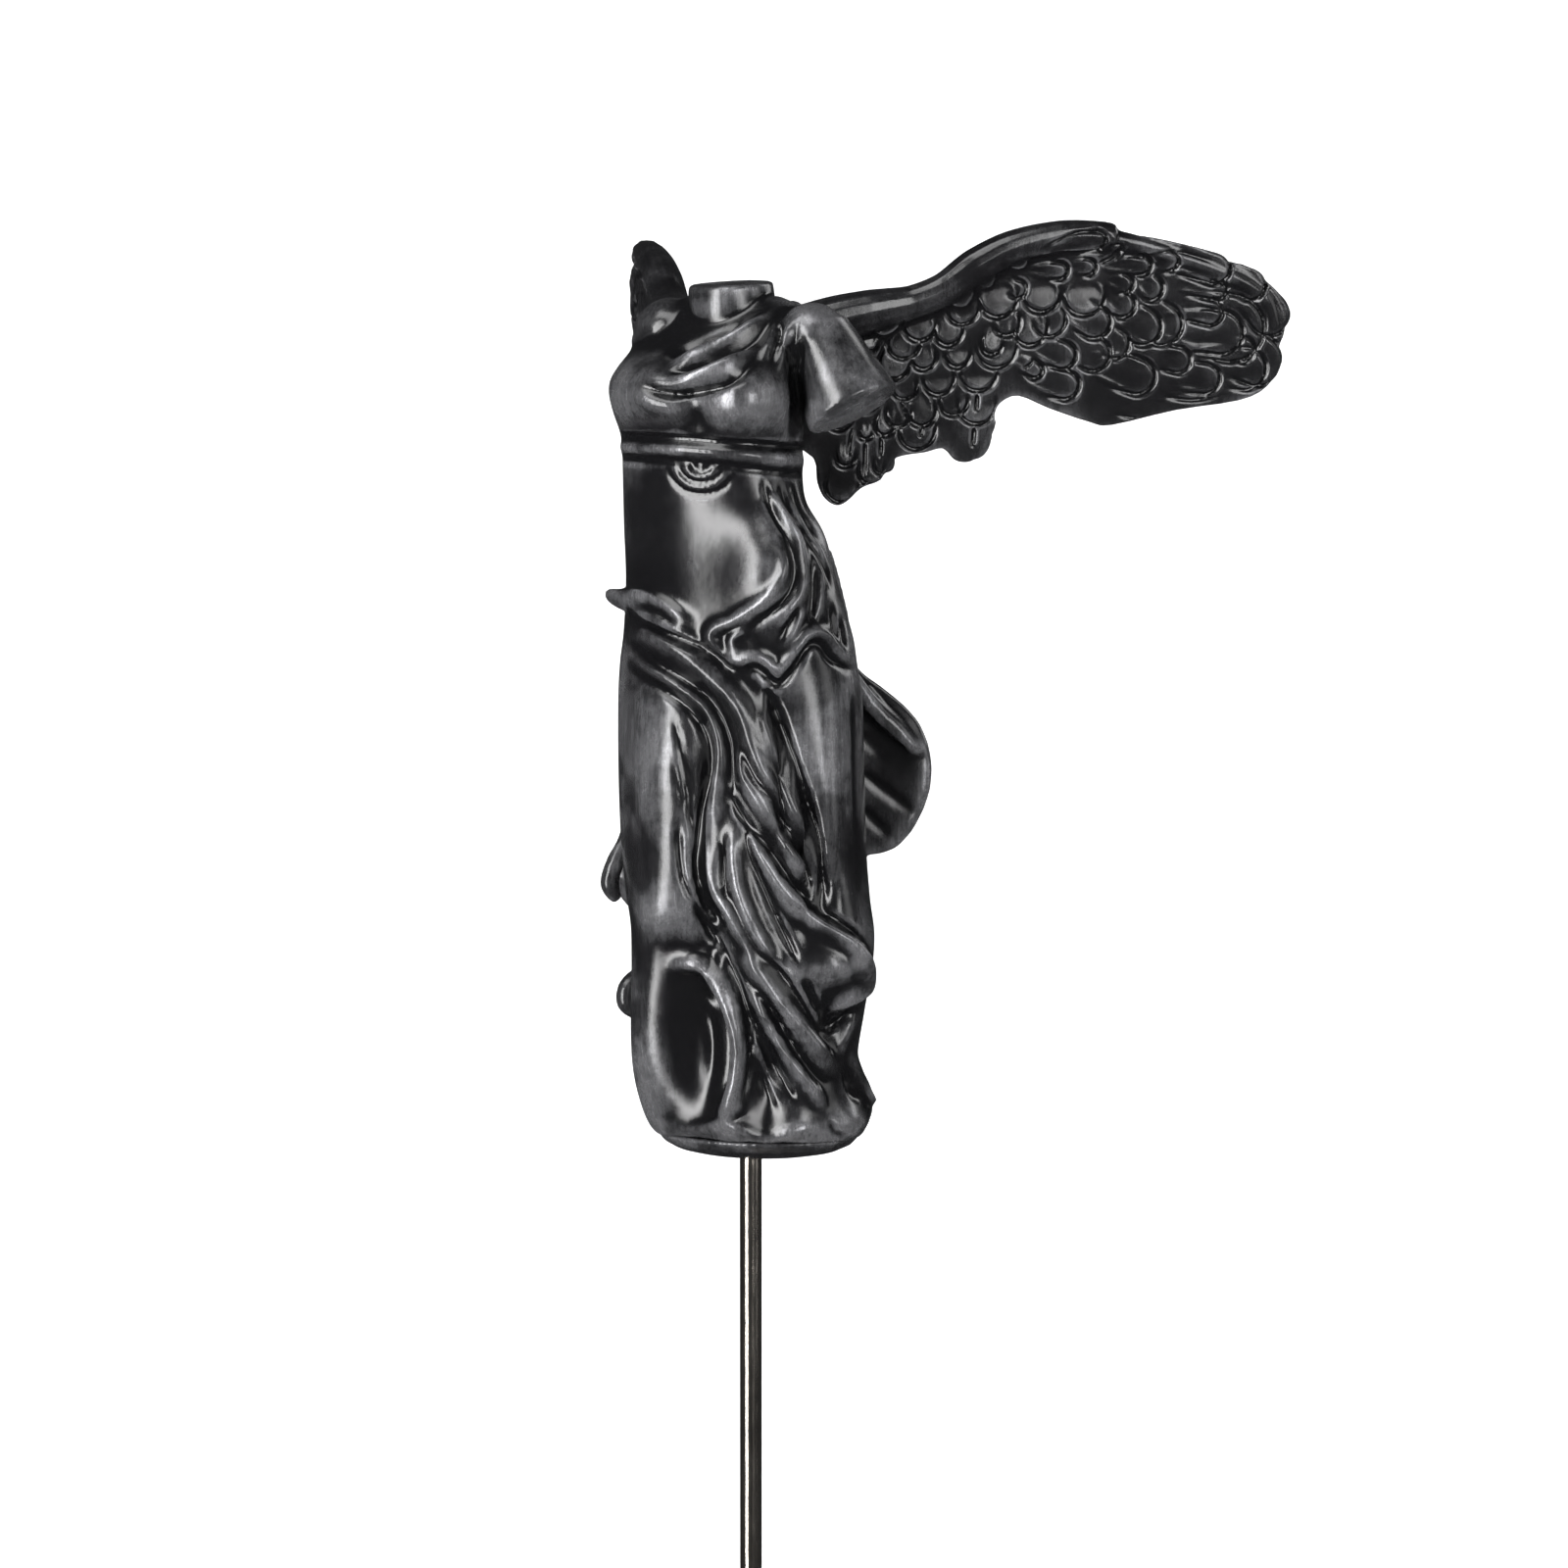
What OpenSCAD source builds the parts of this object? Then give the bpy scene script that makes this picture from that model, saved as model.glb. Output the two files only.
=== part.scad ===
// Winged figure trophy: a hollow cast figure, without head or arms, on a steel rod and a round weighted base.
// The display front faces -Y, the left wing spreads to +X, and the origin is where the rod's axis meets the table.

/* [Figure] */
// Height of the figure, from its hem to the top of its wings
figure_h = 246; // [200:1:320]
// Wall of the hollow body casting
body_wall = 5; // [3:0.5:8]
// Direction that the chest faces, turned from the display front towards -X
facing = 36; // [20:1:50]
// Depth of the domed underside, from the hem down to the rod
dome_h = 6; // [4:0.5:10]
// Depth of the closing plate's spigot inside the body
spigot_h = 6; // [4:0.5:10]
// Gap round a bonded joint between two castings
glue_gap = 0.15; // [0.1:0.05:0.4]

/* [Wings] */
// Length of a wing, from its root in the shoulder to its tip
wing_span = 132; // [105:1:160]
// Thickness of a wing across its feathers
wing_t = 6; // [5.5:0.5:10]
// Thickness of a wing's leading edge
edge_t = 11; // [9:0.5:16]
// Angle of the left wing, turned back from +X
wing_yaw = 6; // [0:1:15]
// Angle of the right wing, turned back from the left wing's mirror image
right_yaw = 4; // [0:1:8]
// Angle by which the wings' upper edges lean forward
wing_lean = 10; // [0:1:12]

/* [Cloak] */
// Thickness of the cloak behind the legs
cloak_t = 7; // [6:0.5:10]
// Thickness of the cloak's flying end
tail_t = 6; // [4:0.5:9]
// Gap between the cloak and the body
cloak_gap = 0.4; // [0.3:0.1:1]

/* [Dowels] */
// Diameter of the steel dowels that hold the wings and the cloak
dowel_d = 3; // [2:0.5:4]
// Length of a dowel
dowel_l = 13; // [11:1:16]
// Gap round a dowel in its hole
dowel_gap = 0.05; // [0.02:0.01:0.1]
// Distance between the two dowels of a wing
wing_dowel_pitch = 16; // [10:1:18]
// Distance between the two dowels of the cloak
cloak_dowel_pitch = 60; // [30:1:70]

/* [Rod] */
// Diameter of the rod
rod_d = 6; // [5.5:0.5:9]
// Length of the rod that shows between the base and the figure
rod_exposed = 150; // [110:1:220]
// Diameter of the thread on both ends of the rod
thread_d = 5; // [4:0.5:5]
// Gap round the rod in its sockets
rod_gap = 0.1; // [0.05:0.05:0.3]
// Gap between two threads
thread_gap = 0.05; // [0.02:0.01:0.1]

/* [Socket in the figure] */
// Diameter of the threaded socket's flange
flange_d = 30; // [26:1:36]
// Thickness of the flange
flange_t = 3; // [2:0.5:5]
// Diameter of the socket's boss
boss_d = 11; // [9:0.5:13]
// Height of the boss above the flange
boss_h = 12; // [8:1:16]
// Number of screws through the flange
screw_count = 3; // [3:1:6]
// Diameter of the circle that the screws stand on
screw_circle = 21; // [19:0.5:24]
// Diameter of a screw
screw_d = 3; // [2.5:0.5:3.5]
// Length of a screw under its head
screw_l = 8; // [6:1:9]

/* [Base] */
// Diameter of the base
base_d = 110; // [90:1:160]
// Thickness of the base
base_t = 16; // [14:1:30]
// Radius round the base's upper edge
base_round = 2; // [0.5:0.5:4]
// Depth of the rod's seat in the top of the base
seat_h = 3; // [2:0.5:5]
// Depth of the nut's recess in the underside
recess_h = 9; // [8.5:0.5:10]
// Diameter of the nut's recess
recess_d = 24; // [20:1:40]
// Thickness of the felt under the base
felt_t = 2; // [1:0.5:4]
// How far the felt stops short of the base's edge
felt_inset = 3; // [1:0.5:10]

/* [Nut and washers] */
// Diameter of the plain washer
washer_d = 15; // [12:0.5:18]
// Thickness of the plain washer
washer_t = 1.2; // [0.8:0.1:2]
// Diameter of the spring washer
spring_d = 9; // [8.5:0.5:11]
// Thickness of the spring washer
spring_t = 1.3; // [1:0.1:1.6]
// Width of the nut across its flats
nut_af = 8; // [8:0.5:10]
// Thickness of the nut
nut_t = 4; // [3:0.5:5]

/* [Hidden] */
$fn = 64;

// Colours as seen, and of the parts inside
lacquer = [0.09, 0.09, 0.10];
nickel = [0.62, 0.58, 0.53];
steel = [0.60, 0.61, 0.63];
felt = [0.08, 0.08, 0.08];

// The figure is drawn for this height, and scaled to figure_h
drawn_h = 246;
k = figure_h / drawn_h;

// Heights up the trophy
base_top = felt_t + base_t;
figure_z = base_top + rod_exposed;
hem_z = dome_h;

// Directions: the figure's own left, and its back
left_dir = [cos(facing), -sin(facing)];
back_dir = [sin(facing), cos(facing)];

// Rings of the body, as drawn: height above the hem, centre x, centre y, half width, half depth
stations = [
    [0, 2, 0, 29.5, 24.5],
    [10, 1, 0, 30.5, 25.5],
    [34, 0.7, 0, 32, 26],
    [54, 0.8, 0, 34.5, 27.5],
    [76, -1.8, -0.5, 34.5, 28],
    [96, -3, -1, 34.5, 27.5],
    [116, -3, -2, 33.5, 26.5],
    [134, -3.5, -3, 33, 26],
    [149, -5.5, -4.5, 30, 23],
    [169, -9, -6, 26, 19.5],
    [182, -9, -7, 27, 20.5],
    [194, -8.8, -8, 29.5, 22.5],
    [202, -9, -8, 31, 23.5],
    [211, -6, -7, 29.5, 19.5],
    [219, -4.5, -5, 26, 13],
    [224, -5, -4.5, 20, 10],
    [227, -5, -4.5, 13, 8],
];

// Smooth curve through points a, b, c and d, between b and c
function curve(a, b, c, d, t) =
    0.5 * (2 * b + (c - a) * t + (2 * a - 5 * b + 4 * c - d) * t * t + (3 * b - a - 3 * c + d) * t * t * t);

// Open and closed smooth lines through a list of points, with n steps between neighbours
function smooth_open(p, n) = concat(
    [for (i = [0 : len(p) - 2], j = [0 : n - 1])
        curve(p[max(i - 1, 0)], p[i], p[i + 1], p[min(i + 2, len(p) - 1)], j / n)],
    [p[len(p) - 1]]);
function smooth_loop(p, n) = [for (i = [0 : len(p) - 1], j = [0 : n - 1])
    curve(p[(i + len(p) - 1) % len(p)], p[i], p[(i + 1) % len(p)], p[(i + 2) % len(p)], j / n)];

ring_steps = 2;
ring_points = 40;
rings = k * smooth_open(stations, ring_steps);

// The body's section at a height above the hem
function centre_at(h) = [lookup(h, [for (r = rings) [r[0], r[1]]]), lookup(h, [for (r = rings) [r[0], r[2]]])];
function width_at(h) = lookup(h, [for (r = rings) [r[0], r[3]]]);
function depth_at(h) = lookup(h, [for (r = rings) [r[0], r[4]]]);

// A point on the body's surface, grown outwards by g
function on_ring(centre, w, d, angle, g) =
    centre + (w + g) * cos(angle) * left_dir + (d + g) * sin(angle) * back_dir;
function on_body(h, angle, g) = on_ring(centre_at(h), width_at(h), depth_at(h), angle, g);

// How far from point p, along direction v, a line leaves the body's section at height h grown by g
function way_out(p, v, h, g) = let (
        q = p - centre_at(h),
        w = width_at(h) + g,
        d = depth_at(h) + g,
        q1 = [q * left_dir / w, q * back_dir / d],
        v1 = [v * left_dir / w, v * back_dir / d],
        a = v1 * v1,
        b = 2 * q1 * v1,
        c = q1 * q1 - 1)
    (-b + sqrt(b * b - 4 * a * c)) / (2 * a);

// Solid between rows of points that all have the same length, each row a closed loop
module skin(rows) {
    n = len(rows[0]);
    last = len(rows) - 1;
    polyhedron(
        points = [for (row = rows, p = row) p],
        faces = concat(
            [[for (j = [0 : n - 1]) j]],
            [for (i = [0 : last - 1], j = [0 : n - 1]) each [
                [i * n + j, (i + 1) * n + j, (i + 1) * n + (j + 1) % n],
                [i * n + j, (i + 1) * n + (j + 1) % n, i * n + (j + 1) % n]]],
            [[for (j = [n - 1 : -1 : 0]) last * n + j]]));
}

// The body's outer form, grown by g, with its lowest and highest rings moved by the given amounts
module body_form(g, lower = 0, upper = 0) {
    skin([for (i = [0 : len(rings) - 1]) let (
            r = rings[i],
            z = r[0] + (i == 0 ? lower : i == len(rings) - 1 ? upper : 0))
        [for (j = [0 : ring_points - 1])
            let (p = on_ring([r[1], r[2]], r[3], r[4], 360 * j / ring_points, g)) [p[0], p[1], z]]]);
}

// Neck and the stumps of both arms, as drawn: [shoulder, its radius, stump, its radius, its turn]
neck_at = [-4.5, -4, 219];
neck_r = 10.5;
neck_h = 11;
neck_turn = [8, -8, 0];
left_arm = [[14, -16, 211], 11, [27, -20.5, 194.5], 12, [0, 143, -18]];
right_arm = [[-17, 3, 209], 13, [-21, 6, 219], 10, [0, -30, -20]];
stump_tip = 1;
round_steps = 32;

module neck() {
    translate(k * neck_at) rotate(neck_turn) cylinder(r = k * neck_r, h = k * neck_h);
}

// An upper arm, grown by g, ending in a flat broken face
module arm_stump(arm, g) {
    hull() {
        translate(k * arm[0]) sphere(r = k * arm[1] + g, $fn = round_steps);
        translate(k * arm[2]) rotate(arm[4]) cylinder(r = k * arm[3] + g, h = stump_tip + g, $fn = round_steps);
    }
}

// Wing roots, inside the shoulders. The right wing mirrors the left one in the plane of the chest.
root_side = 17;
root_back = 10.5;
root_h = 209;
function root_of(side) = centre_at(k * root_h) + k * (side * root_side * left_dir + root_back * back_dir);
function wing_turn(side) = side > 0 ? wing_yaw : 180 - 2 * facing - wing_yaw - right_yaw;
function wing_dir(side) = [cos(wing_turn(side)), sin(wing_turn(side))];

// Outline of a wing: distance from its root, and height above the hem, as drawn
drawn_span = 132;
wing_outline = [
    [0, 222.5], [9, 225.5], [30, 228.2], [38.5, 231.6], [47, 238.5], [56.5, 243], [68, 245.4], [77, 245.6],
    [84, 244.8], [98, 239.5], [115, 233.5], [127.5, 225], [131.5, 217], [131, 208], [126.5, 201], [119, 197.5],
    [102, 194.9], [85, 190.9], [79, 191.7], [68, 195.4], [59.5, 198.8], [54, 196], [53, 190.4], [50.4, 184.6],
    [45, 181], [39.5, 184.6], [29, 182.7], [24, 180], [22, 176], [17.5, 174], [10.6, 169.2], [6.5, 174], [0, 186],
];
// Leading edge of a wing, from the root over the wrist to the first long feather
edge_outline = [
    [0, 221], [9, 224.5], [30, 227.2], [38.5, 230.6], [47, 237.5], [56.5, 242], [68, 244.4], [77, 244.6],
    [84, 243.8], [98, 238.5], [108, 235], [98, 234], [84, 238], [76, 237.5], [68, 236.5], [58, 234], [48, 229],
    [42, 225.5], [34, 222.5], [23, 217.5], [9, 215.5], [0, 211],
];
outline_steps = 2;

// From the drawn outline to the wing's own length and height
function stretched(outline) =
    [for (p = smooth_loop(outline, outline_steps)) [p[0] * wing_span / drawn_span, k * p[1]]];

module in_wing_frame(side) {
    translate([root_of(side)[0], root_of(side)[1], k * root_h]) rotate([side * wing_lean, 0, wing_turn(side)])
        translate([0, 0, -k * root_h]) children();
}

// Places of a wing's dowels, across the joint with the body
wing_dowel_h = 206;
function dowel_heights() = [for (s = [-1, 1]) k * wing_dowel_h + s * wing_dowel_pitch / 2];
function dowel_middle(side, h) = way_out(root_of(side), wing_dir(side), h, 0);

module wing_dowel_set(side, gap) {
    in_wing_frame(side) for (h = dowel_heights())
        translate([dowel_middle(side, h) - dowel_l / 2 - gap, 0, h])
            rotate([0, 90, 0]) cylinder(d = dowel_d + 2 * gap, h = dowel_l + 2 * gap);
}

module wing_plate(outline, t) {
    rotate([90, 0, 0]) translate([0, 0, -t / 2]) linear_extrude(t) polygon(stretched(outline));
}

module wing(side) {
    difference() {
        in_wing_frame(side) union() {
            wing_plate(wing_outline, wing_t);
            wing_plate(edge_outline, edge_t);
        }
        body_form(glue_gap, 0, 1);
        arm_stump(side > 0 ? left_arm : right_arm, glue_gap);
        wing_dowel_set(side, dowel_gap);
    }
}

// The cloak's two upright edges, as angles round the body's back: height above the hem, from, to
cloak_span = [
    [26, 96, 150], [34, 80, 178], [44, 72, 180], [52, 66, 172], [62, 64, 192], [72, 64, 196],
    [84, 64, 178], [110, 64, 168], [130, 64, 150], [146, 60, 120], [158, 56, 84],
];
cloak_rows = 2;
cloak_steps = 10;

function cloak_line(s, g, order) = [for (j = order)
    let (p = on_body(k * s[0], s[1] + (s[2] - s[1]) * j / cloak_steps, g)) [p[0], p[1], k * s[0]]];

module cloak_wrap() {
    skin([for (s = smooth_open(cloak_span, cloak_rows)) concat(
        cloak_line(s, cloak_t, [0 : cloak_steps]),
        cloak_line(s, cloak_gap, [cloak_steps : -1 : 0]))]);
}

// Outline of the cloak's flying end: x and height above the hem, as drawn
tail_outline = [
    [26.5, 125], [31, 123], [38, 118], [46, 110], [49.5, 98], [47, 86], [40, 76], [31, 74], [27.5, 77], [27, 100],
];
tail_y = 9;

module cloak_tail() {
    translate([0, k * tail_y + tail_t, 0]) rotate([90, 0, 0]) linear_extrude(tail_t)
        polygon(smooth_loop(k * tail_outline, outline_steps));
}

// Dowels of the cloak, straight out of the body's back
cloak_dowel_h = 92;
back_angle = 90;

module cloak_dowel_set(gap) {
    for (s = [-1, 1]) {
        h = k * cloak_dowel_h + s * cloak_dowel_pitch / 2;
        p = on_body(h, back_angle, 0);
        translate([p[0], p[1], h]) rotate([-90, 0, -facing]) translate([0, 0, -dowel_l / 2 - gap])
            cylinder(d = dowel_d + 2 * gap, h = dowel_l + 2 * gap);
    }
}

// The castings' frame, at the height of the hem on the finished trophy
module in_figure() {
    translate([0, 0, figure_z + hem_z]) children();
}

module figure_body() {
    color(lacquer) in_figure() difference() {
        union() {
            body_form(0);
            neck();
            arm_stump(left_arm, 0);
            arm_stump(right_arm, 0);
        }
        body_form(-body_wall, -1, -body_wall);
        wing_dowel_set(1, dowel_gap);
        wing_dowel_set(-1, dowel_gap);
        cloak_dowel_set(dowel_gap);
    }
}

// The domed underside: part of the dome's depth, and part of the hem's size
dome_rings = [[-1, 0.42], [-0.93, 0.6], [-0.75, 0.79], [-0.45, 0.92], [0, 1]];
rim_lip = 1;

function hem_ring(z, part, g) = let (r = rings[0]) [for (j = [0 : ring_points - 1])
    let (p = on_ring(part * [r[1], r[2]], part * r[3], part * r[4], 360 * j / ring_points, g)) [p[0], p[1], z]];

module plate_screw_holes(d, z, h) {
    for (i = [0 : screw_count - 1])
        rotate([0, 0, 360 * i / screw_count]) translate([screw_circle / 2, 0, z]) cylinder(d = d, h = h);
}

module closing_plate() {
    color(lacquer) in_figure() difference() {
        union() {
            skin([for (r = dome_rings) hem_ring(r[0] * dome_h, r[1], 0)]);
            skin([hem_ring(-rim_lip, 1, -body_wall - glue_gap), hem_ring(spigot_h, 1, -body_wall - glue_gap)]);
        }
        translate([0, 0, -dome_h - 1]) cylinder(d = rod_d + 2 * rod_gap, h = dome_h + spigot_h + 2);
        plate_screw_holes(screw_d + 2 * thread_gap, spigot_h - screw_depth - screw_tip, screw_depth + screw_tip + 1);
    }
}

module left_wing() {
    color(lacquer) in_figure() wing(1);
}

module right_wing() {
    color(lacquer) in_figure() wing(-1);
}

module rear_cloak() {
    color(lacquer) in_figure() difference() {
        union() {
            cloak_wrap();
            cloak_tail();
        }
        cloak_dowel_set(dowel_gap);
    }
}

module left_wing_dowels() {
    color(steel) in_figure() wing_dowel_set(1, 0);
}

module right_wing_dowels() {
    color(steel) in_figure() wing_dowel_set(-1, 0);
}

module cloak_dowels() {
    color(steel) in_figure() cloak_dowel_set(0);
}

// Screws through the flange into the closing plate
screw_depth = screw_l - flange_t;
screw_tip = 0.5;
head_d = 1.8 * screw_d;
head_h = 0.6 * screw_d;
slot_w = 0.25 * screw_d;

module socket_flange() {
    color(steel) in_figure() translate([0, 0, spigot_h]) difference() {
        union() {
            cylinder(d = flange_d, h = flange_t);
            cylinder(d = boss_d, h = flange_t + boss_h);
        }
        translate([0, 0, -1]) cylinder(d = thread_d + 2 * thread_gap, h = flange_t + boss_h + 2);
        plate_screw_holes(screw_d + 2 * rod_gap, -1, flange_t + 2);
    }
}

module flange_screws() {
    color(steel) in_figure() difference() {
        union() {
            plate_screw_holes(screw_d, spigot_h - screw_depth, screw_l);
            plate_screw_holes(head_d, spigot_h + flange_t, head_h);
        }
        for (i = [0 : screw_count - 1])
            rotate([0, 0, 360 * i / screw_count])
                translate([screw_circle / 2 - slot_w / 2, -head_d / 2 - 1, spigot_h + flange_t + head_h / 2])
                    cube([slot_w, head_d + 2, head_h]);
    }
}

// The rod's shoulders stand on the seat in the base and against the flange's underside
seat_z = base_top - seat_h;
shoulder_z = figure_z + hem_z + spigot_h;
nut_z = felt_t + recess_h - washer_t - spring_t - nut_t;
thread_over = 1;
rod_bottom = nut_z - thread_over;
rod_top = shoulder_z + flange_t + boss_h - thread_over;

module rod() {
    color(nickel) {
        translate([0, 0, seat_z]) cylinder(d = rod_d, h = shoulder_z - seat_z);
        translate([0, 0, rod_bottom]) cylinder(d = thread_d, h = rod_top - rod_bottom);
    }
}

module base() {
    color(nickel) translate([0, 0, felt_t]) difference() {
        rotate_extrude() {
            square([base_d / 2, base_t - base_round]);
            square([base_d / 2 - base_round, base_t]);
            translate([base_d / 2 - base_round, base_t - base_round]) circle(r = base_round);
        }
        translate([0, 0, base_t - seat_h]) cylinder(d = rod_d + 2 * rod_gap, h = seat_h + 1);
        cylinder(d = thread_d + 2 * rod_gap, h = base_t);
        translate([0, 0, -1]) cylinder(d = recess_d, h = recess_h + 1);
    }
}

// A flat ring on the rod's lower thread
module ring(d, bore, t) {
    difference() {
        cylinder(d = d, h = t);
        translate([0, 0, -1]) cylinder(d = bore, h = t + 2);
    }
}

module base_washer() {
    color(steel) translate([0, 0, felt_t + recess_h - washer_t]) ring(washer_d, thread_d + 2 * rod_gap, washer_t);
}

split_w = 1;

module spring_washer() {
    color(steel) translate([0, 0, nut_z + nut_t]) difference() {
        ring(spring_d, thread_d + 2 * rod_gap, spring_t);
        translate([0, -split_w / 2, -1]) cube([spring_d, split_w, spring_t + 2]);
    }
}

hex = 6;

module base_nut() {
    color(steel) translate([0, 0, nut_z]) difference() {
        cylinder(d = nut_af / cos(180 / hex), h = nut_t, $fn = hex);
        translate([0, 0, -1]) cylinder(d = thread_d + 2 * thread_gap, h = nut_t + 2);
    }
}

module felt_pad() {
    color(felt) cylinder(d = base_d - 2 * felt_inset, h = felt_t);
}

figure_body();
closing_plate();
left_wing();
right_wing();
rear_cloak();
left_wing_dowels();
right_wing_dowels();
cloak_dowels();
socket_flange();
flange_screws();
rod();
base();
base_washer();
spring_washer();
base_nut();
felt_pad();
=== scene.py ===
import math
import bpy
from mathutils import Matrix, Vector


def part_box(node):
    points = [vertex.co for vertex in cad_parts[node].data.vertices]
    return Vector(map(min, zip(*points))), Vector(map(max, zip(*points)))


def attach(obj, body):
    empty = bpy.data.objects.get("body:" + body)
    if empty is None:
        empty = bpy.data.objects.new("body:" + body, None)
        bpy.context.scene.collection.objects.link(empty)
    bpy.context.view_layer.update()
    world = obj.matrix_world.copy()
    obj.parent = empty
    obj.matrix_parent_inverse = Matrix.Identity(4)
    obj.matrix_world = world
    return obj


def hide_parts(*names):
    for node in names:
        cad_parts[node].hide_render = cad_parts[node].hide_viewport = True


bl_info = {
    "name": "Winged figure trophy",
    "version": (1, 0, 0),
    "blender": (4, 5, 0),
    "location": "View3D > Sidebar > Trophy",
    "description": "Sculpted castings, polished rod and weighted base of a winged figure trophy",
    "category": "Add Mesh",
}

import bpy
import numpy as np
from mathutils import Matrix, Vector

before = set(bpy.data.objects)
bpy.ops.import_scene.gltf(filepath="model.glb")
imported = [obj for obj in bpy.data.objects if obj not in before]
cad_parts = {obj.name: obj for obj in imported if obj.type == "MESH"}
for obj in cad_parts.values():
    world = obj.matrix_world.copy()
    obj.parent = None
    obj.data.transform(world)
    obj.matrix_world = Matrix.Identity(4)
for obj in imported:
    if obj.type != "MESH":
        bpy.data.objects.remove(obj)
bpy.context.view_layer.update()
ROOT = "root"

# ---------------------------------------------------------------------------------------------
# The sculptor's space: millimetres as drawn, x and z as seen from the display front, y away from
# the viewer, z counted from the figure's underside. UNIT turns drawn millimetres into metres.
# ---------------------------------------------------------------------------------------------
DRAWN_HEIGHT = 251.5
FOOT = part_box("closing_plate")[0][2]
UNIT = (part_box("left_wing")[1][2] - FOOT) / DRAWN_HEIGHT
FACING = math.radians(36)
LEFT = np.array((math.cos(FACING), -math.sin(FACING)))
BACK = np.array((math.sin(FACING), math.cos(FACING)))

# Where the display camera stands, in drawn millimetres and degrees
CAMERA_DISTANCE = 1200.0
CAMERA_RISE = math.radians(3.5)
AIM_X = 9.0
AIM_Z = 100.0
VIEW_WIDTH = 423.0


def to_world(points):
    """From drawn millimetres to metres in the trophy's frame."""
    return np.asarray(points, dtype=float) * UNIT + np.array((0, 0, FOOT))


def as_seen(points):
    """Where points stand in the display camera's picture plane, which passes through the rod's axis."""
    p = np.asarray(points)
    up = (p[:, 2] - AIM_Z) * math.cos(CAMERA_RISE) + p[:, 1] * math.sin(CAMERA_RISE)
    depth = p[:, 1] * math.cos(CAMERA_RISE) - (p[:, 2] - AIM_Z) * math.sin(CAMERA_RISE)
    near = CAMERA_DISTANCE / (CAMERA_DISTANCE + depth)
    return np.stack(((p[:, 0] - AIM_X) * near + AIM_X, up * near + AIM_Z), axis=1)


# ---------------------------------------------------------------------------------------------
# Settings that a user would change
# ---------------------------------------------------------------------------------------------
class TROPHY_PG_sculpt(bpy.types.PropertyGroup):
    """How finely the castings are sculpted."""

    body_grain: bpy.props.FloatProperty(
        name="Body grain", description="Edge of the voxels that the body is made of, in millimetres",
        default=0.5, min=0.4, max=2.0)
    wing_grain: bpy.props.FloatProperty(
        name="Wing grain", description="Edge of the voxels that the wings are made of, in millimetres",
        default=0.42, min=0.35, max=2.0)
    cloak_grain: bpy.props.FloatProperty(
        name="Cloak grain", description="Edge of the voxels that the cloak is made of, in millimetres",
        default=0.75, min=0.5, max=2.0)
    triangle_limit: bpy.props.IntProperty(
        name="Triangles", description="Most triangles that one casting may have", default=185000)
    fold_gain: bpy.props.FloatProperty(
        name="Fold depth", description="Scale of all folds, 1 as drawn", default=1.0, min=0.0, max=2.0,
        subtype="FACTOR")
    feather_rise: bpy.props.FloatProperty(
        name="Feather rise", description="Height of a feather's tip over the wing, in millimetres",
        default=0.9, min=0.5, max=3.0)
    feather_rim: bpy.props.FloatProperty(
        name="Feather rim", description="Width of a feather's raised rim, in millimetres", default=0.75)


class TROPHY_PG_finish(bpy.types.PropertyGroup):
    """Colours of the trophy's finishes."""

    lacquer: bpy.props.FloatVectorProperty(
        name="Lacquer", description="Black lacquer on the castings", subtype="COLOR", size=4,
        default=(0.004, 0.004, 0.0045, 1))
    # Graphite goes on crests and rises as rubbed wear; where it is left out, in valleys and hollows, the
    # black lacquer is painted shade.
    graphite: bpy.props.FloatVectorProperty(
        name="Graphite", description="Grey where the lacquer is rubbed through", subtype="COLOR", size=4,
        default=(0.25, 0.25, 0.262, 1))
    nickel: bpy.props.FloatVectorProperty(
        name="Nickel", description="Warm nickel on the rod and the base", subtype="COLOR", size=4,
        default=(0.62, 0.57, 0.51, 1))
    felt: bpy.props.FloatVectorProperty(
        name="Felt", description="Felt under the base", subtype="COLOR", size=4,
        default=(0.02, 0.02, 0.022, 1))
    floor: bpy.props.FloatVectorProperty(
        name="Floor", description="Pale floor and backdrop", subtype="COLOR", size=4,
        default=(0.86, 0.86, 0.86, 1))


# ---------------------------------------------------------------------------------------------
# Working on a mesh
# ---------------------------------------------------------------------------------------------
def deselect():
    bpy.ops.object.select_all(action="DESELECT")


def activate(obj):
    """Selects one object alone and makes it the active one."""
    deselect()
    obj.select_set(True)
    bpy.context.view_layer.objects.active = obj


def coords(obj):
    out = np.empty(len(obj.data.vertices) * 3)
    obj.data.vertices.foreach_get("co", out)
    return out.reshape(-1, 3)


def set_coords(obj, points):
    obj.data.vertices.foreach_set("co", np.ascontiguousarray(points, dtype=float).ravel())
    obj.data.update()


def normals_of(obj):
    out = np.empty(len(obj.data.vertices) * 3)
    obj.data.vertices.foreach_get("normal", out)
    return out.reshape(-1, 3)


def edges_of(obj):
    out = np.empty(len(obj.data.edges) * 2, dtype=np.int32)
    obj.data.edges.foreach_get("vertices", out)
    return out.reshape(-1, 2)


def finish_modifier(obj, kind, **settings):
    """Adds a modifier with its settings and applies it."""
    activate(obj)
    mod = obj.modifiers.new(kind.lower(), kind)
    for name, value in settings.items():
        setattr(mod, name, value)
    bpy.ops.object.modifier_apply(modifier=mod.name)


def join(parts, name):
    """Joins new meshes into the first one."""
    deselect()
    for part in parts:
        part.select_set(True)
    bpy.context.view_layer.objects.active = parts[0]
    bpy.ops.object.join()
    whole = bpy.context.view_layer.objects.active
    whole.name = whole.data.name = name
    return whole


def settle(obj):
    """Puts an object's place, turn and scale into its mesh."""
    activate(obj)
    bpy.ops.object.transform_apply(location=True, rotation=True, scale=True)


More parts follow.
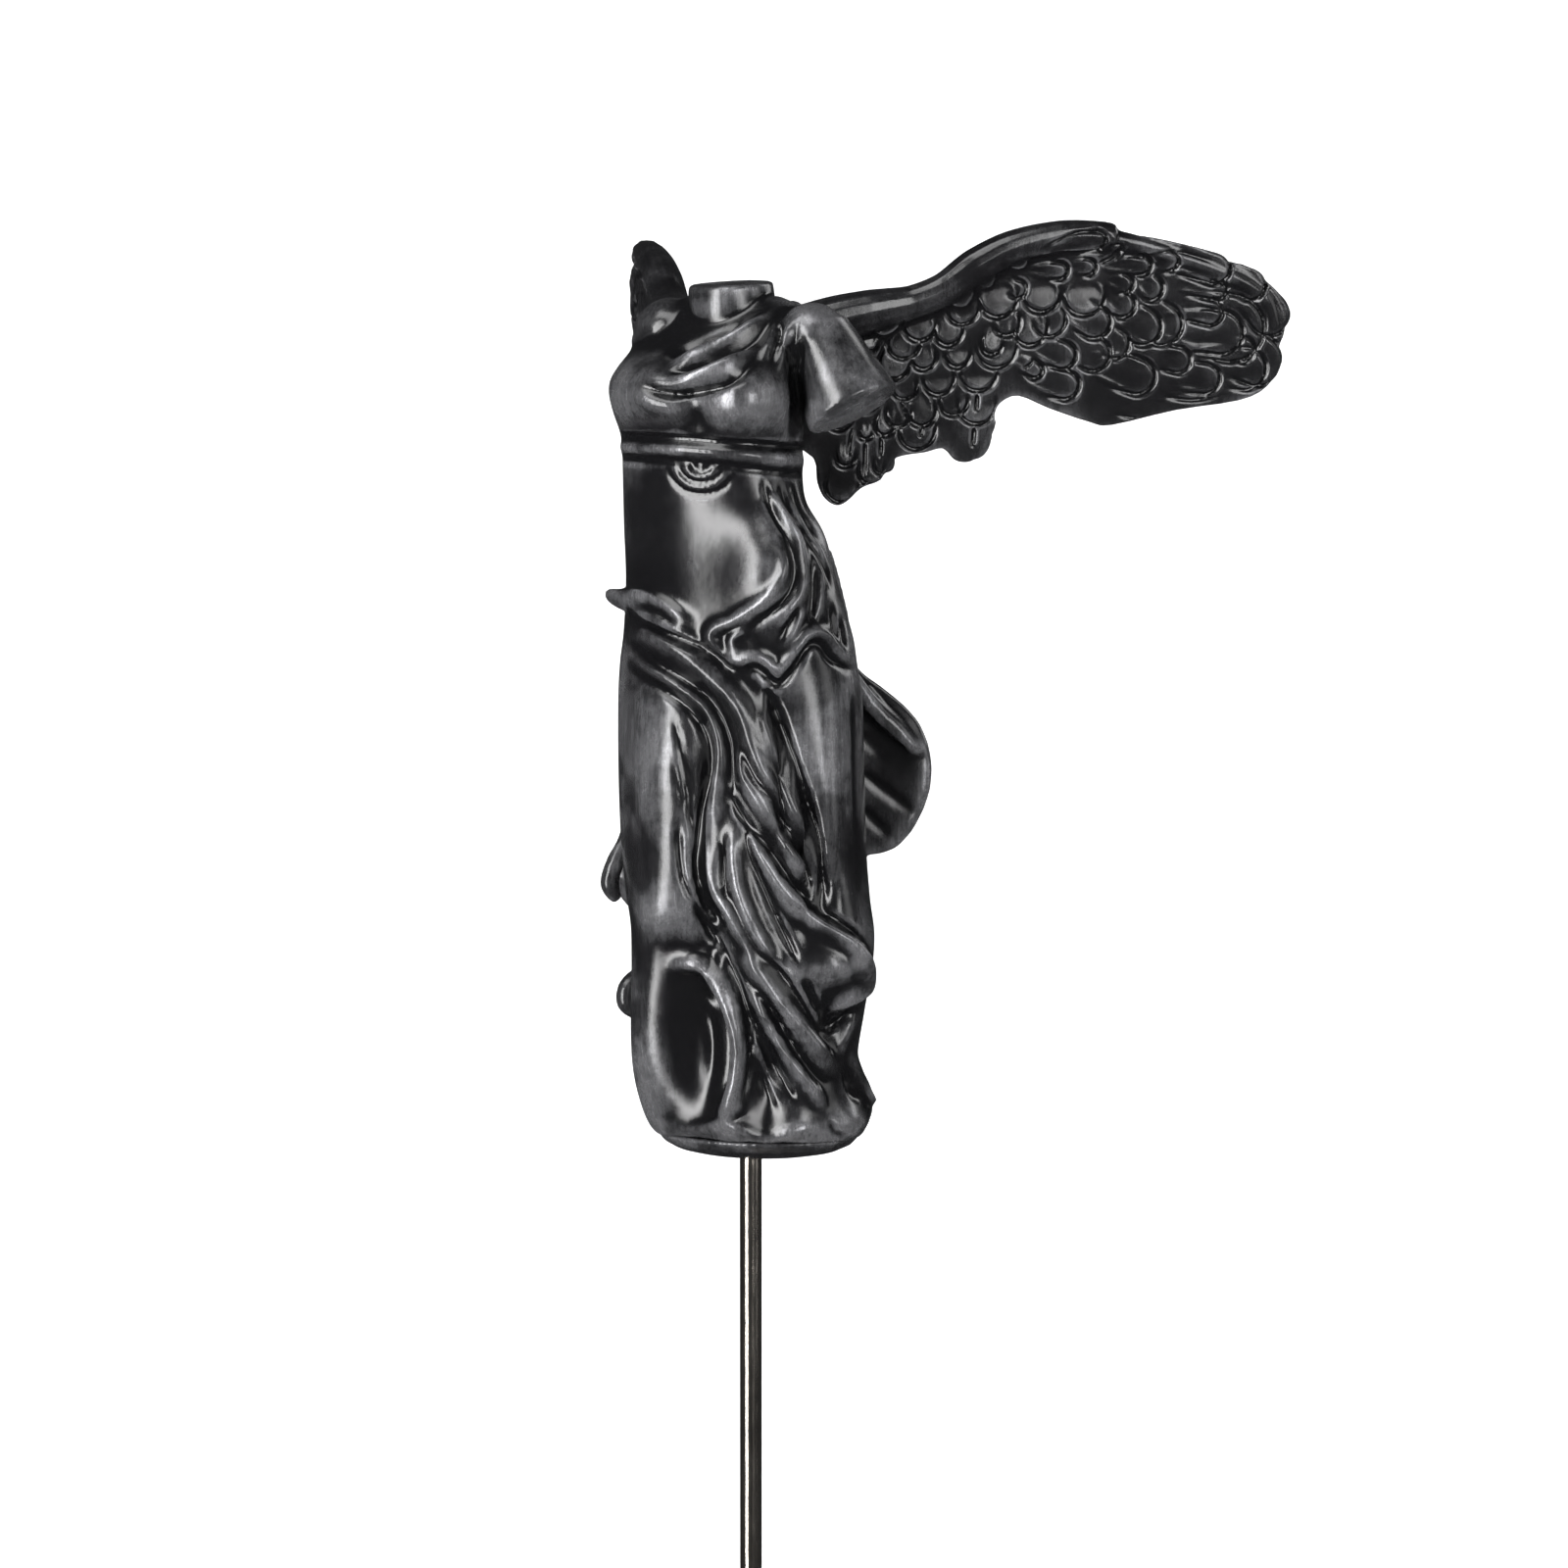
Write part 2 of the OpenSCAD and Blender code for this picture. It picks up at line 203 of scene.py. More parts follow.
def copied(obj, name):
    """A copy with its own mesh."""
    copy = bpy.data.objects.new(name, obj.data.copy())
    bpy.context.collection.objects.link(copy)
    return copy


def curve_to_mesh(curve, turn=(0, 0, 0)):
    """A mesh from a new curve, turned as given."""
    shape = bpy.data.objects.new(curve.name, curve)
    bpy.context.collection.objects.link(shape)
    shape.rotation_euler = turn
    activate(shape)
    bpy.ops.object.convert(target="MESH")
    return bpy.context.object


def merge_doubles(obj):
    activate(obj)
    bpy.ops.object.mode_set(mode="EDIT")
    bpy.ops.mesh.select_all(action="SELECT")
    bpy.ops.mesh.remove_doubles(threshold=0.001)
    bpy.ops.object.mode_set(mode="OBJECT")


def face_out(obj):
    activate(obj)
    bpy.ops.object.mode_set(mode="EDIT")
    bpy.ops.mesh.select_all(action="SELECT")
    bpy.ops.mesh.normals_make_consistent(inside=False)
    bpy.ops.object.mode_set(mode="OBJECT")


def averaged(points, edges, times):
    """The points after each has moved to its neighbours' mean a number of times."""
    count = len(points)
    ends = np.concatenate((edges[:, 0], edges[:, 1]))
    others = np.concatenate((edges[:, 1], edges[:, 0]))
    shares = np.maximum(np.bincount(ends, minlength=count), 1)[:, None]
    for _ in range(times):
        total = np.stack([np.bincount(ends, weights=points[others, axis], minlength=count)
                          for axis in range(points.shape[1])], axis=1)
        points = total / shares
    return points


def working_grain(size):
    """A casting's voxel edge."""
    return size * 1


def clay_to_casting(obj, grain, softening):
    """Melts the joined clay into one closed skin of even quads, in drawn millimetres."""
    finish_modifier(obj, "REMESH", mode="VOXEL", voxel_size=grain, adaptivity=0.0)
    finish_modifier(obj, "SMOOTH", factor=0.5, iterations=softening)


def thin_out(obj, limit):
    """Brings a casting under its triangle limit and keeps it smooth shaded."""
    triangles = sum(len(face.vertices) - 2 for face in obj.data.polygons)
    if triangles > limit:
        finish_modifier(obj, "DECIMATE", ratio=limit / triangles)
    activate(obj)
    bpy.ops.object.shade_smooth()


def mark_raised(obj, fine, broad):
    """Stores how far each point stands over its near and its wider surroundings, for the lacquer's rubbed
    wear and its painted shade in hollows.
    """
    points, edges, normals = coords(obj), edges_of(obj), normals_of(obj)
    near = averaged(points, edges, fine)
    wide = averaged(near, edges, broad)
    for name, mean in (("raised", near), ("proud", wide)):
        layer = obj.data.attributes.new(name, "FLOAT", "POINT")
        layer.data.foreach_set("value", ((points - mean) * normals).sum(axis=1).astype(np.float32))


def into_place(obj, node, finish):
    """Moves a sculpted casting from drawn millimetres to its place, and stands it in for its CAD node."""
    set_coords(obj, to_world(coords(obj)))
    obj.data.materials.clear()
    obj.data.materials.append(finish)
    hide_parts(node)
    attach(obj, ROOT)


# ---------------------------------------------------------------------------------------------
# Folds: strokes of a loop tool, drawn as seen from the display front
# ---------------------------------------------------------------------------------------------
def through(points, steps=4):
    """A smooth line through given points."""
    p = np.asarray(points, dtype=float)
    if len(p) < 3:
        return p
    p = np.vstack((2 * p[0] - p[1], p, 2 * p[-1] - p[-2]))
    out = []
    for a, b, c, d in zip(p, p[1:], p[2:], p[3:]):
        for t in np.arange(steps) / steps:
            out.append(0.5 * (2 * b + (c - a) * t + (2 * a - 5 * b + 4 * c - d) * t * t
                              + (3 * b - a - 3 * c + d) * t ** 3))
    out.append(p[-2])
    return np.array(out)


def nearest(path, points):
    """Each point's distance from a path and, along it, from its nearer end, and the path's length."""
    best = np.full(len(points), 1e9)
    along = np.zeros(len(points))
    lengths = np.linalg.norm(path[1:] - path[:-1], axis=1)
    run, total = 0.0, lengths.sum()
    for a, b, length in zip(path, path[1:], lengths):
        if length == 0:
            continue
        t = np.clip(((points - a) @ (b - a)) / length ** 2, 0, 1)
        distance = np.linalg.norm(points - a - t[:, None] * (b - a), axis=1)
        closer = distance < best
        best[closer] = distance[closer]
        along[closer] = run + t[closer] * length
        run += length
    return best, np.minimum(along, total - along), total


def ramp(x, low, high):
    t = np.clip((x - low) / (high - low), 0, 1)
    return t * t * (3 - 2 * t)


def roll_profile(d):
    """A fold with a rounded crest and hollow flanks, across its reach."""
    return np.exp(-3.4 * d * d) * (1 - d ** 4)


def crease_profile(d):
    """A sharp-bottomed valley, across its reach."""
    return (1 - d) ** 1.7


# How a stroke fades towards its ends, and how much wider than drawn its profile reaches
FADE = 10.0
FADE_SHARE = 0.35
ROLL_SPREAD = 1.7
CREASE_SPREAD = 1.45

# Rounds of averaging: the normals that strokes follow, rolled folds, creases, the skin after its mounds
CALM_ROUNDS = 10
ROLL_ROUNDS = 7
CREASE_ROUNDS = 3
MOUND_SOFTENING = 6

# Leaning of the skin between which a stroke from the front, or from behind, takes hold
HOLD_FROM = -0.1
HOLD_FULL = 0.4


def press_strokes(seen, facing, strokes):
    """What the strokes add to each point: rolled folds, of positive height, and creases, of negative."""
    rolls, creases = np.zeros(len(seen)), np.zeros(len(seen))
    for height, half_width, points in strokes:
        half_width *= ROLL_SPREAD if height > 0 else CREASE_SPREAD
        path = through(points)
        near = np.flatnonzero(((seen > path.min(axis=0) - half_width)
                               & (seen < path.max(axis=0) + half_width)).all(axis=1) & (facing > 0))
        distance, to_end, total = nearest(path, seen[near])
        inside = distance < half_width
        near, d = near[inside], distance[inside] / half_width
        profile = roll_profile(d) if height > 0 else crease_profile(d)
        ends = ramp(to_end[inside], 0, min(FADE, FADE_SHARE * total))
        pressed = height * profile * ends * facing[near]
        if height > 0:
            rolls[near] = np.maximum(rolls[near], pressed)
        else:
            creases[near] = np.minimum(creases[near], pressed)
    return rolls, creases


def press_mounds(seen, facing, mounds):
    """Height that broad mounds and hollows add: middle x and z, half widths along x and z, height."""
    lift = np.zeros(len(seen))
    for x, z, wide, tall, height in mounds:
        d2 = ((seen[:, 0] - x) / wide) ** 2 + ((seen[:, 1] - z) / tall) ** 2
        lift += height * np.exp(-d2 * 1.4) * facing
    return lift


def calm_normals(obj):
    """Normals without the skin's own ripples, so that a stroke's flanks do not cross."""
    normals = averaged(normals_of(obj), edges_of(obj), CALM_ROUNDS)
    return normals / np.maximum(np.linalg.norm(normals, axis=1), 1e-9)[:, None]


def facings(normals):
    """How far each point faces the display front, and how far the rear."""
    return ramp(-normals[:, 1], HOLD_FROM, HOLD_FULL), ramp(normals[:, 1], HOLD_FROM, HOLD_FULL)


def fold(obj, grain, front, rear, gain, front_mounds=(), rear_mounds=()):
    """Presses the mounds, then the strokes, of the display front and of the rear into a casting's skin."""
    points, normals = coords(obj), calm_normals(obj)
    to_front, to_rear = facings(normals)
    seen = as_seen(points)
    mounds = press_mounds(seen, to_front, front_mounds) + press_mounds(seen, to_rear, rear_mounds)
    set_coords(obj, points + normals * mounds[:, None])
    clay_to_casting(obj, grain, MOUND_SOFTENING)
    points, normals = coords(obj), calm_normals(obj)
    to_front, to_rear = facings(normals)
    seen = as_seen(points)
    edges = edges_of(obj)
    for facing, strokes in ((to_front, front), (to_rear, rear)):
        rolls, creases = press_strokes(seen, facing, strokes)
        lift = averaged(rolls[:, None], edges, ROLL_ROUNDS)
        lift += averaged(creases[:, None], edges, CREASE_ROUNDS)
        points = points + normals * (gain * lift)
    set_coords(obj, points)


# ---------------------------------------------------------------------------------------------
# The body casting
# ---------------------------------------------------------------------------------------------
# Sections: z, left and right edge as seen, half width and half depth across the chest, middle y
SECTIONS = (
    (6, -25.5, 30.0, 29.5, 24.5, 0.0), (10, -27.3, 31.5, 30.0, 25.0, 0.0),
    (16, -28.0, 30.5, 30.5, 25.5, 0.0), (26, -28.3, 28.8, 31.0, 25.5, 0.0),
    (40, -28.8, 30.8, 32.0, 26.0, 0.0), (58, -30.6, 33.3, 34.0, 27.0, 0.0),
    (70, -33.5, 32.0, 34.5, 28.0, -0.3), (84, -35.0, 31.0, 34.5, 28.0, -0.5),
    (102, -35.7, 30.5, 34.5, 27.5, -1.0), (122, -35.8, 30.0, 33.5, 26.5, -2.0),
    (133, -35.3, 28.5, 33.3, 26.2, -2.6), (141, -34.3, 27.2, 33.0, 26.0, -3.0),
    (155, -33.6, 22.8, 30.0, 23.5, -4.5), (168, -34.0, 19.0, 27.0, 21.0, -5.5),
    (177, -34.2, 14.5, 26.0, 19.8, -6.3), (188, -34.4, 14.0, 26.5, 20.5, -7.0),
    (194, -34.8, 14.2, 27.5, 21.5, -7.5), (200, -36.6, 14.4, 29.0, 22.5, -8.0),
    (207, -37.6, 14.6, 30.0, 22.0, -8.0), (212, -35.4, 15.2, 29.0, 19.0, -7.5),
    (217, -32.0, 16.0, 27.0, 15.5, -6.5), (221.5, -31.2, 16.0, 25.0, 11.0, -5.5),
    (225.5, -30.6, 14.5, 23.0, 7.5, -4.5), (228.5, -28.0, 12.0, 20.0, 5.5, -4.0),
    (230.5, -22.0, 8.0, 14.0, 4.0, -4.0),
)
AROUND = 144
UPWARDS = 150

# Broad forms of the front: x, z, half widths along x and z, height
BODY_MOUNDS = (
    # breasts, shoulders and armpit
    (-1, 203.5, 12, 9, 5.0), (-28, 206, 11, 9, 3.6), (-14, 199, 5, 8, -1.2), (-14, 219, 13, 5, -1.6),
    (12.5, 203, 3, 12, -2.4),
    # belly and waist
    (6.5, 158, 13.5, 20, 6.8), (14, 162, 4, 16, -2.2),
    # right leg
    (-23.4, 100, 10, 38, 4.6), (-24.0, 58, 8, 24, 4.8), (-24.6, 36, 5.6, 19, 4.8),
    (-26.0, 20, 6, 16, 3.6),
    # valley between the right leg and the middle folds
    (-12.5, 92, 3.2, 26, -3.6), (-11, 62, 3.4, 12, -3.0),
    # left leg and the valley beside it
    (20, 96, 9, 42, 3.4), (8, 100, 3.6, 22, -2.4), (15, 80, 3.4, 18, -5.0), (19.5, 69, 3.0, 9, -3.0),
    (27.5, 60, 5, 20, 2.0),
    # lower skirt
    (-13.4, 28, 6.2, 22, -5.6), (4.5, 18, 6.5, 17, -3.8), (22, 51, 8, 7.5, 4.6), (21.5, 36, 3.6, 7, -4.0),
    (26, 9, 5, 5, 2.0), (12, 49, 4, 8, 1.5), (2, 7, 30, 3.2, 0.9),
)

# Folds of the front: height, half width, points
BODY_FOLDS = (
    # neckline and strap
    (-1.6, 1.8, ((0, 225.2), (-5, 221.8), (-11, 219), (-18, 216.6), (-25, 215.6))),
    (3.4, 1.7, ((8.5, 228.5), (5, 225.8), (1, 223), (-4, 219.8), (-9, 217), (-14, 214.8), (-19, 213.4),
                (-24, 212.8))),
    (-2.2, 1.1, ((5, 222.4), (1, 219), (-4, 216), (-9, 213.8), (-14, 212), (-19, 211), (-24, 211))),
    (3.0, 1.6, ((3.5, 219.4), (0, 216.6), (-4, 213.9), (-9, 211.6), (-14, 209.9), (-19, 209),
                (-24, 209.4))),
    (-3.2, 1.6, ((2, 213.6), (-3, 210.4), (-9, 207.4), (-15, 205.6), (-21, 205.2), (-27, 206.6),
                 (-32, 209.4))),
    (1.2, 1.4, ((-33, 205.6), (-28, 203), (-22, 202), (-16, 202.4))),
    (2.2, 1.5, ((8, 227), (6.6, 222.3), (4.4, 216.8), (2.8, 212.5))),
    (-1.6, 0.9, ((9.6, 225), (8.6, 221.5), (6.6, 217), (5.2, 212))),
    (1.8, 1.3, ((11, 226), (9.8, 221), (8.2, 216.5), (7.2, 211))),
    (-1.5, 0.9, ((12.6, 225), (11.4, 219), (10, 213.6))),
    (-2.6, 1.6, ((14, 224), (12.8, 216), (12.4, 208), (13.4, 199), (13.8, 194))),
    # belt
    (-1.5, 1.3, ((-40, 193.6), (-30, 193.4), (-20, 193), (-10, 192.2), (2, 191.4), (12, 190.8),
                 (20, 190.4))),
    (1.9, 2.1, ((-41, 191), (-32, 190.9), (-20, 190.3), (-10, 189.6), (-2, 188.8), (8, 187.6),
                (20, 186.8))),
    (-1.2, 1.2, ((-40, 188), (-28, 187.8), (-20, 187.2), (-8, 186), (3, 184.9), (12, 184), (20, 183.6))),
    # sweep of folds from the belt down round the belly
    (-2.2, 1.1, ((3, 183.5), (4.4, 178), (7, 172), (10, 167), (12, 161.5), (12.4, 156), (10.6, 151),
                 (6.5, 147), (2, 143.6), (-1.4, 140.4))),
    (2.0, 1.5, ((5.2, 181), (7, 176), (10, 170.5), (12.6, 165), (14, 158), (13, 151), (9.5, 146),
                (5, 142.6))),
    (2.2, 1.7, ((6.6, 166), (9, 161), (8.6, 155.6), (5, 150.6), (0, 147), (-5, 144), (-9.5, 142),
                (-10.8, 139.5), (-8, 136.2), (-4, 133.8))),
    (-1.8, 0.9, ((7.4, 169.5), (10, 164), (10.6, 158), (8, 152.6), (3.6, 148.4))),
    (-1.6, 0.9, ((12, 152), (7.4, 147.6), (2.2, 144), (-1.4, 141), (-2.6, 138.8))),
    (1.5, 1.1, ((3, 144.8), (-1.6, 141.6), (-5, 139), (-4.2, 136.4), (-0.5, 135.4), (4, 136))),
    (-1.7, 0.9, ((12.8, 150.5), (11.4, 145), (9.4, 141), (8, 137.4))),
    (1.3, 1.1, ((15, 152), (13.6, 146), (11.4, 141), (8.6, 137), (6, 135))),
    (-2.0, 0.9, ((16, 162), (17.1, 157), (17.2, 151), (16.6, 145.4), (16, 140.6))),
    (1.2, 1.0, ((17.6, 161), (18.8, 156), (18.8, 150), (18, 143.6))),
    (-1.5, 0.9, ((7.4, 183), (9.6, 175.6), (13.6, 168.4), (17.6, 163), (20.5, 157), (22.4, 150))),
    (-1.2, 0.8, ((10.6, 182), (12.6, 175.5), (15.5, 169.5), (18.6, 163.5))),
    (1.0, 1.0, ((9, 180), (11.4, 174), (15, 168), (18.8, 162), (21.6, 154))),
    (-1.3, 0.8, ((22, 149), (22.6, 142), (23.4, 137))),
    (-1.2, 0.8, ((24.4, 146), (25, 140), (25.6, 135))),
    # hem of the tunic over the legs
    (2.2, 1.7, ((-9.5, 138.4), (-5.6, 134.8), (-2.4, 133.2), (1, 134.6), (4, 133), (7.4, 130.4),
                (11, 134.6), (14.4, 139), (17, 141), (20, 140), (22.6, 136.6), (26, 134.2), (29, 134.4))),
    (-2.4, 1.4, ((-5, 132), (-2, 130.6), (1.2, 131.8), (4, 130), (7.4, 126.8), (11.2, 131), (14.4, 136),
                 (16.6, 138), (19.4, 137.4), (22, 133.8), (26, 131.2), (29, 131.2))),
    # roll of the cloak across the hip
    (2.4, 2.0, ((-37, 151.4), (-32, 151.6), (-27, 150.8), (-22.4, 147.8), (-17.8, 144.4), (-14, 141.2))),
    (-1.6, 1.0, ((-34, 148.6), (-28, 147.4), (-23, 144.8), (-18.4, 141.6))),
    (1.4, 1.2, ((-34, 146.8), (-29, 145.6), (-24, 143.4), (-19, 140.8), (-14, 139))),
    (-2.2, 1.1, ((-33.6, 144.4), (-27.6, 143), (-22.4, 141), (-16.7, 138.2), (-11, 135.2), (-6.4, 131),
                 (-2.4, 126.8))),
    (3.4, 3.4, ((-31, 143.4), (-22.4, 138), (-16.7, 134.6), (-11, 129.8), (-5.2, 124.2), (-0.9, 117),
                (1.6, 108), (5, 98), (9, 88))),
    (-2.6, 1.2, ((-34, 139), (-27.6, 134), (-22.4, 130.6), (-16.7, 126.8), (-12, 123.4), (-8.4, 118.6),
                 (-5.8, 112), (-4.6, 104), (-4.4, 96))),
    (2.4, 1.8, ((-34, 136.6), (-27.6, 132.2), (-20.7, 128), (-14.4, 123.6), (-10.2, 118.8), (-8.2, 113),
                (-7.8, 107), (-8.8, 98), (-10.4, 89), (-10.8, 80), (-9.6, 73), (-6, 66.5), (-2, 59),
                (2, 52), (6, 45), (10, 39))),
    (-2.0, 1.5, ((-33, 131.6), (-26.5, 127), (-20, 122.8), (-14.4, 117.6), (-11.4, 111), (-11, 103),
                 (-12.6, 95), (-13.6, 87), (-14.2, 79), (-12.4, 70), (-9, 63), (-5, 56.6))),
    # right thigh
    (-1.5, 0.6, ((-21.4, 120), (-19.2, 110), (-17.8, 102), (-16.6, 95), (-15.8, 88), (-15.4, 82))),
    (-1.2, 0.5, ((-19.6, 117), (-17.4, 108), (-16, 100), (-15, 93))),
    (-1.1, 0.5, ((-21.2, 107), (-19.4, 99), (-17.6, 91))),
    (-1.6, 1.2, ((-19.2, 93), (-19.4, 84), (-18.4, 75), (-16, 69), (-13.6, 63))),
    # narrow folds between the legs
    (-2.4, 0.9, ((-7, 86), (-7.5, 80), (-7.4, 74), (-5.6, 67.4))),
    (2.6, 2.2, ((-4.6, 90), (-4.4, 80), (-3, 71), (0.6, 62), (5.6, 53), (9.6, 47))),
    (-2.4, 1.0, ((-1.6, 92), (-0.6, 84), (2.4, 75), (6.4, 65), (10.8, 56), (14.4, 48))),
    (-2.8, 1.6, ((-15, 86.8), (-14.4, 76.5), (-12.6, 68.6), (-8.6, 60))),
    # long slanting folds down to the lower right
    (3.0, 2.0, ((-4.4, 112), (-2.4, 104), (1.2, 97), (5.4, 90), (9.6, 83), (13, 76), (15.6, 69))),
    (-2.2, 0.9, ((-2.2, 112), (0.4, 104), (4.4, 97), (8.4, 90), (12, 83), (15, 76), (17.2, 69))),
    (2.6, 1.8, ((0.6, 124), (3.8, 115), (6.6, 106), (10, 97.6), (13, 90), (15.4, 82), (17, 74))),
    (-1.2, 0.6, ((-1.4, 121), (1.4, 112), (4.6, 103.6), (8, 95.6))),
    (-3.4, 1.7, ((3.6, 128.5), (7.2, 119), (10.2, 110), (13.4, 101), (16, 92), (18, 82.6), (19.4, 74),
                 (20, 66))),
    (-2.4, 1.1, ((-6.6, 100), (-3, 92), (1.6, 86), (7, 79.4), (12, 72.4), (16.6, 66))),
    (1.0, 0.7, ((5, 126), (8.4, 117), (11.2, 108), (14, 99))),
    # left leg
    (-0.7, 0.8, ((27.5, 126), (28, 104), (28.2, 92), (28.6, 80), (29.4, 68))),
    # the wide fold that turns back at the lower right
    (3.6, 2.2, ((-2, 90), (1.6, 83), (6, 75.6), (10.6, 69), (16.4, 63), (22.6, 59.4), (27.6, 55.6),
                (30.6, 50), (30.2, 46), (26.4, 43), (22, 40.4), (18, 37))),
    (-2.6, 1.5, ((29.6, 39.6), (25, 36.6), (21, 34.4), (18.6, 33))),
    (-2.0, 1.2, ((17.6, 66.4), (24, 62.6), (29, 59), (32, 53.5))),
    (-1.8, 1.4, ((13.4, 48.6), (16.4, 43), (18.4, 37.6))),
    (1.4, 1.0, ((30, 41.4), (26.6, 34.6), (23, 26))),
    # folds of the lower skirt
    (3.6, 2.6, ((-3, 58), (0, 53), (3.8, 47.6), (7.8, 42), (11.9, 36.4), (16.3, 30), (20.2, 24.4),
                (22.4, 20))),
    (-2.2, 1.1, ((1, 58), (5, 53), (9.9, 46.4), (14, 40), (18.6, 32.6), (22.6, 26))),
    (-2.2, 1.0, ((1.6, 46.4), (4.5, 41.6), (8.5, 34.6), (13, 26.8), (18, 20.4), (21.6, 17.8))),
    (3.2, 1.5, ((-0.6, 47), (2.8, 39.4), (6.2, 33), (10.2, 26.6), (15, 19.8), (18.8, 14), (20.4, 10))),
    (-2.2, 1.2, ((-1.6, 44), (0.6, 37), (3, 30), (6.4, 23), (10.6, 16.4), (14.6, 11.6))),
    (1.5, 0.9, ((1.2, 35), (2.6, 29), (4.2, 22.6), (7, 15.6), (9.4, 10.6))),
    (-1.0, 0.8, ((2.2, 25), (4, 18.6), (6.4, 12.4))),
    (3.8, 2.3, ((-22.4, 48), (-18.6, 51.4), (-14, 51.6), (-10, 48.6), (-6.8, 44), (-4.6, 38), (-3.2, 32),
                (-3, 26), (-3.8, 19), (-5.4, 12.6), (-7.4, 8.4), (-10, 6))),
    (-2.2, 1.3, ((-17.6, 73), (-14.4, 66.6), (-11, 60.8), (-7.5, 54.4), (-4, 47), (-1.2, 39), (-0.4, 32),
                 (-0.8, 25), (-2.6, 16.4), (-4.4, 10))),
    (-2.4, 1.4, ((-16, 48), (-12, 45.6), (-8.8, 41), (-7, 35), (-6.6, 27), (-7.6, 18), (-9.6, 11.6))),
    (0.9, 2.4, ((-12.6, 38), (-12, 31), (-11.8, 24), (-11.8, 16))),
    (1.6, 1.2, ((27.6, 30), (28, 22.6), (31, 16.4), (33, 12.8))),
    (-1.7, 1.1, ((25.4, 24), (26.6, 18), (30, 13.6))),
    (-1.4, 1.0, ((20.6, 9.4), (23, 5.8), (27, 4.6))),
    # turned hem
    (1.7, 1.2, ((-25, 9.5), (-19, 7.7), (-15.6, 6.9), (-11, 7.8), (-7, 8.4), (-3, 6.9), (1, 5.2),
                (5, 4.8), (9.7, 5.7), (14.2, 6.9), (20, 8))),
)

# Rings of a round ornament hanging under the belt: middle, radii of raised rings and of grooves
ORNAMENT = (-13.3, 188.0)
ORNAMENT_RIDGES = (1.8, 5.2, 8.0)
ORNAMENT_GROOVES = (3.6, 6.7, 9.6)
ORNAMENT_ARC = 12
RIDGE_STROKE = (1.1, 1.0)
GROOVE_STROKE = (-1.3, 0.9)

# Folds and mounds of the rear, under and over the cloak
REAR_MOUNDS = (
    (-24, 207, 11, 13, 3.0), (6, 207, 10, 13, 3.0), (-9, 200, 5, 26, -2.2), (-6, 168, 16, 9, -1.2),
    (2, 45, 30, 30, 1.0), (-14, 60, 7, 40, 1.6), (12, 40, 8, 32, 1.8), (0, 60, 4, 44, -1.8),
)
REAR_FOLDS = (
    (1.7, 1.9, ((-36, 191.2), (-26, 190.2), (-14, 189.2), (-2, 188.6), (8, 188), (15, 187.4))),
    (-1.5, 1.0, ((-36, 193.6), (-24, 192.8), (-10, 192), (4, 191.2), (15, 190.6))),
    (-1.3, 1.0, ((-36, 188.6), (-24, 187.4), (-10, 186.4), (4, 185.6), (15, 184.8))),
    (2.0, 1.8, ((-24, 227), (-18, 220), (-10, 215.6), (-2, 216), (6, 221), (10, 226))),
    (-1.6, 1.1, ((-25, 222), (-18, 216), (-10, 211.8), (-2, 212), (6, 217))),
    (1.6, 1.6, ((-26, 217), (-18, 211), (-9, 207.4), (0, 208.6), (8, 214))),
    (-1.4, 1.0, ((-24, 210), (-16, 205), (-7, 203), (1, 205))),
    (1.6, 1.4, ((-14, 203), (-12, 198), (-11, 194.6))),
    (-1.4, 0.9, ((-9, 203), (-8, 198), (-8, 194.6))),
    (1.6, 1.4, ((-5, 202), (-4.6, 198), (-4.8, 194.6))),
    (-1.4, 0.9, ((-2, 204), (-1, 199), (-1, 195))),
    (1.7, 1.6, ((-24, 185), (-22, 177), (-18, 169), (-14, 162))),
    (-1.5, 1.1, ((-20, 185), (-18, 177), (-14, 169))),
    (1.7, 1.6, ((-14, 184), (-12, 176), (-9, 169), (-5, 163))),
    (-1.5, 1.1, ((-9, 184), (-8, 176), (-5, 170))),
    (1.6, 1.5, ((-3, 184), (-2, 176), (1, 169), (5, 163))),
    (-1.4, 1.0, ((2, 183), (3, 176), (6, 169.6))),
    (1.6, 1.4, ((8, 183), (8.4, 176), (12, 168))),
    (-2.2, 1.6, ((-30, 62), (-28, 40), (-28, 20), (-29, 8))),
    (2.2, 2.2, ((-24, 60), (-22.6, 40), (-23, 22), (-25, 9))),
    (-2.2, 1.5, ((-19, 60), (-18, 40), (-18, 20), (-20, 8))),
    (2.2, 2.2, ((-13, 60), (-12, 40), (-12.4, 22), (-14, 9))),
    (-2.2, 1.5, ((-8, 60), (-6.6, 40), (-6, 20), (-7, 8))),
    (2.2, 2.2, ((-2, 60), (0, 42), (1, 24), (1, 9))),
    (-2.2, 1.5, ((3, 58), (6, 40), (8, 22), (9, 8))),
    (2.2, 2.2, ((9, 58), (13, 40), (16, 22), (17, 9))),
    (-2.2, 1.4, ((15, 58), (19, 40), (22, 22), (23, 9))),
    (2.0, 1.9, ((21, 58), (25, 40), (27, 22), (28, 10))),
    (1.6, 1.2, ((-24, 9), (-12, 7.4), (0, 7.8), (12, 7.2), (26, 8.6))),
)


def arc_points(middle, radius, start, stop, count):
    turns = np.radians(np.linspace(start, stop, count))
    return [(middle[0] + radius * math.cos(t), middle[1] + radius * math.sin(t)) for t in turns]


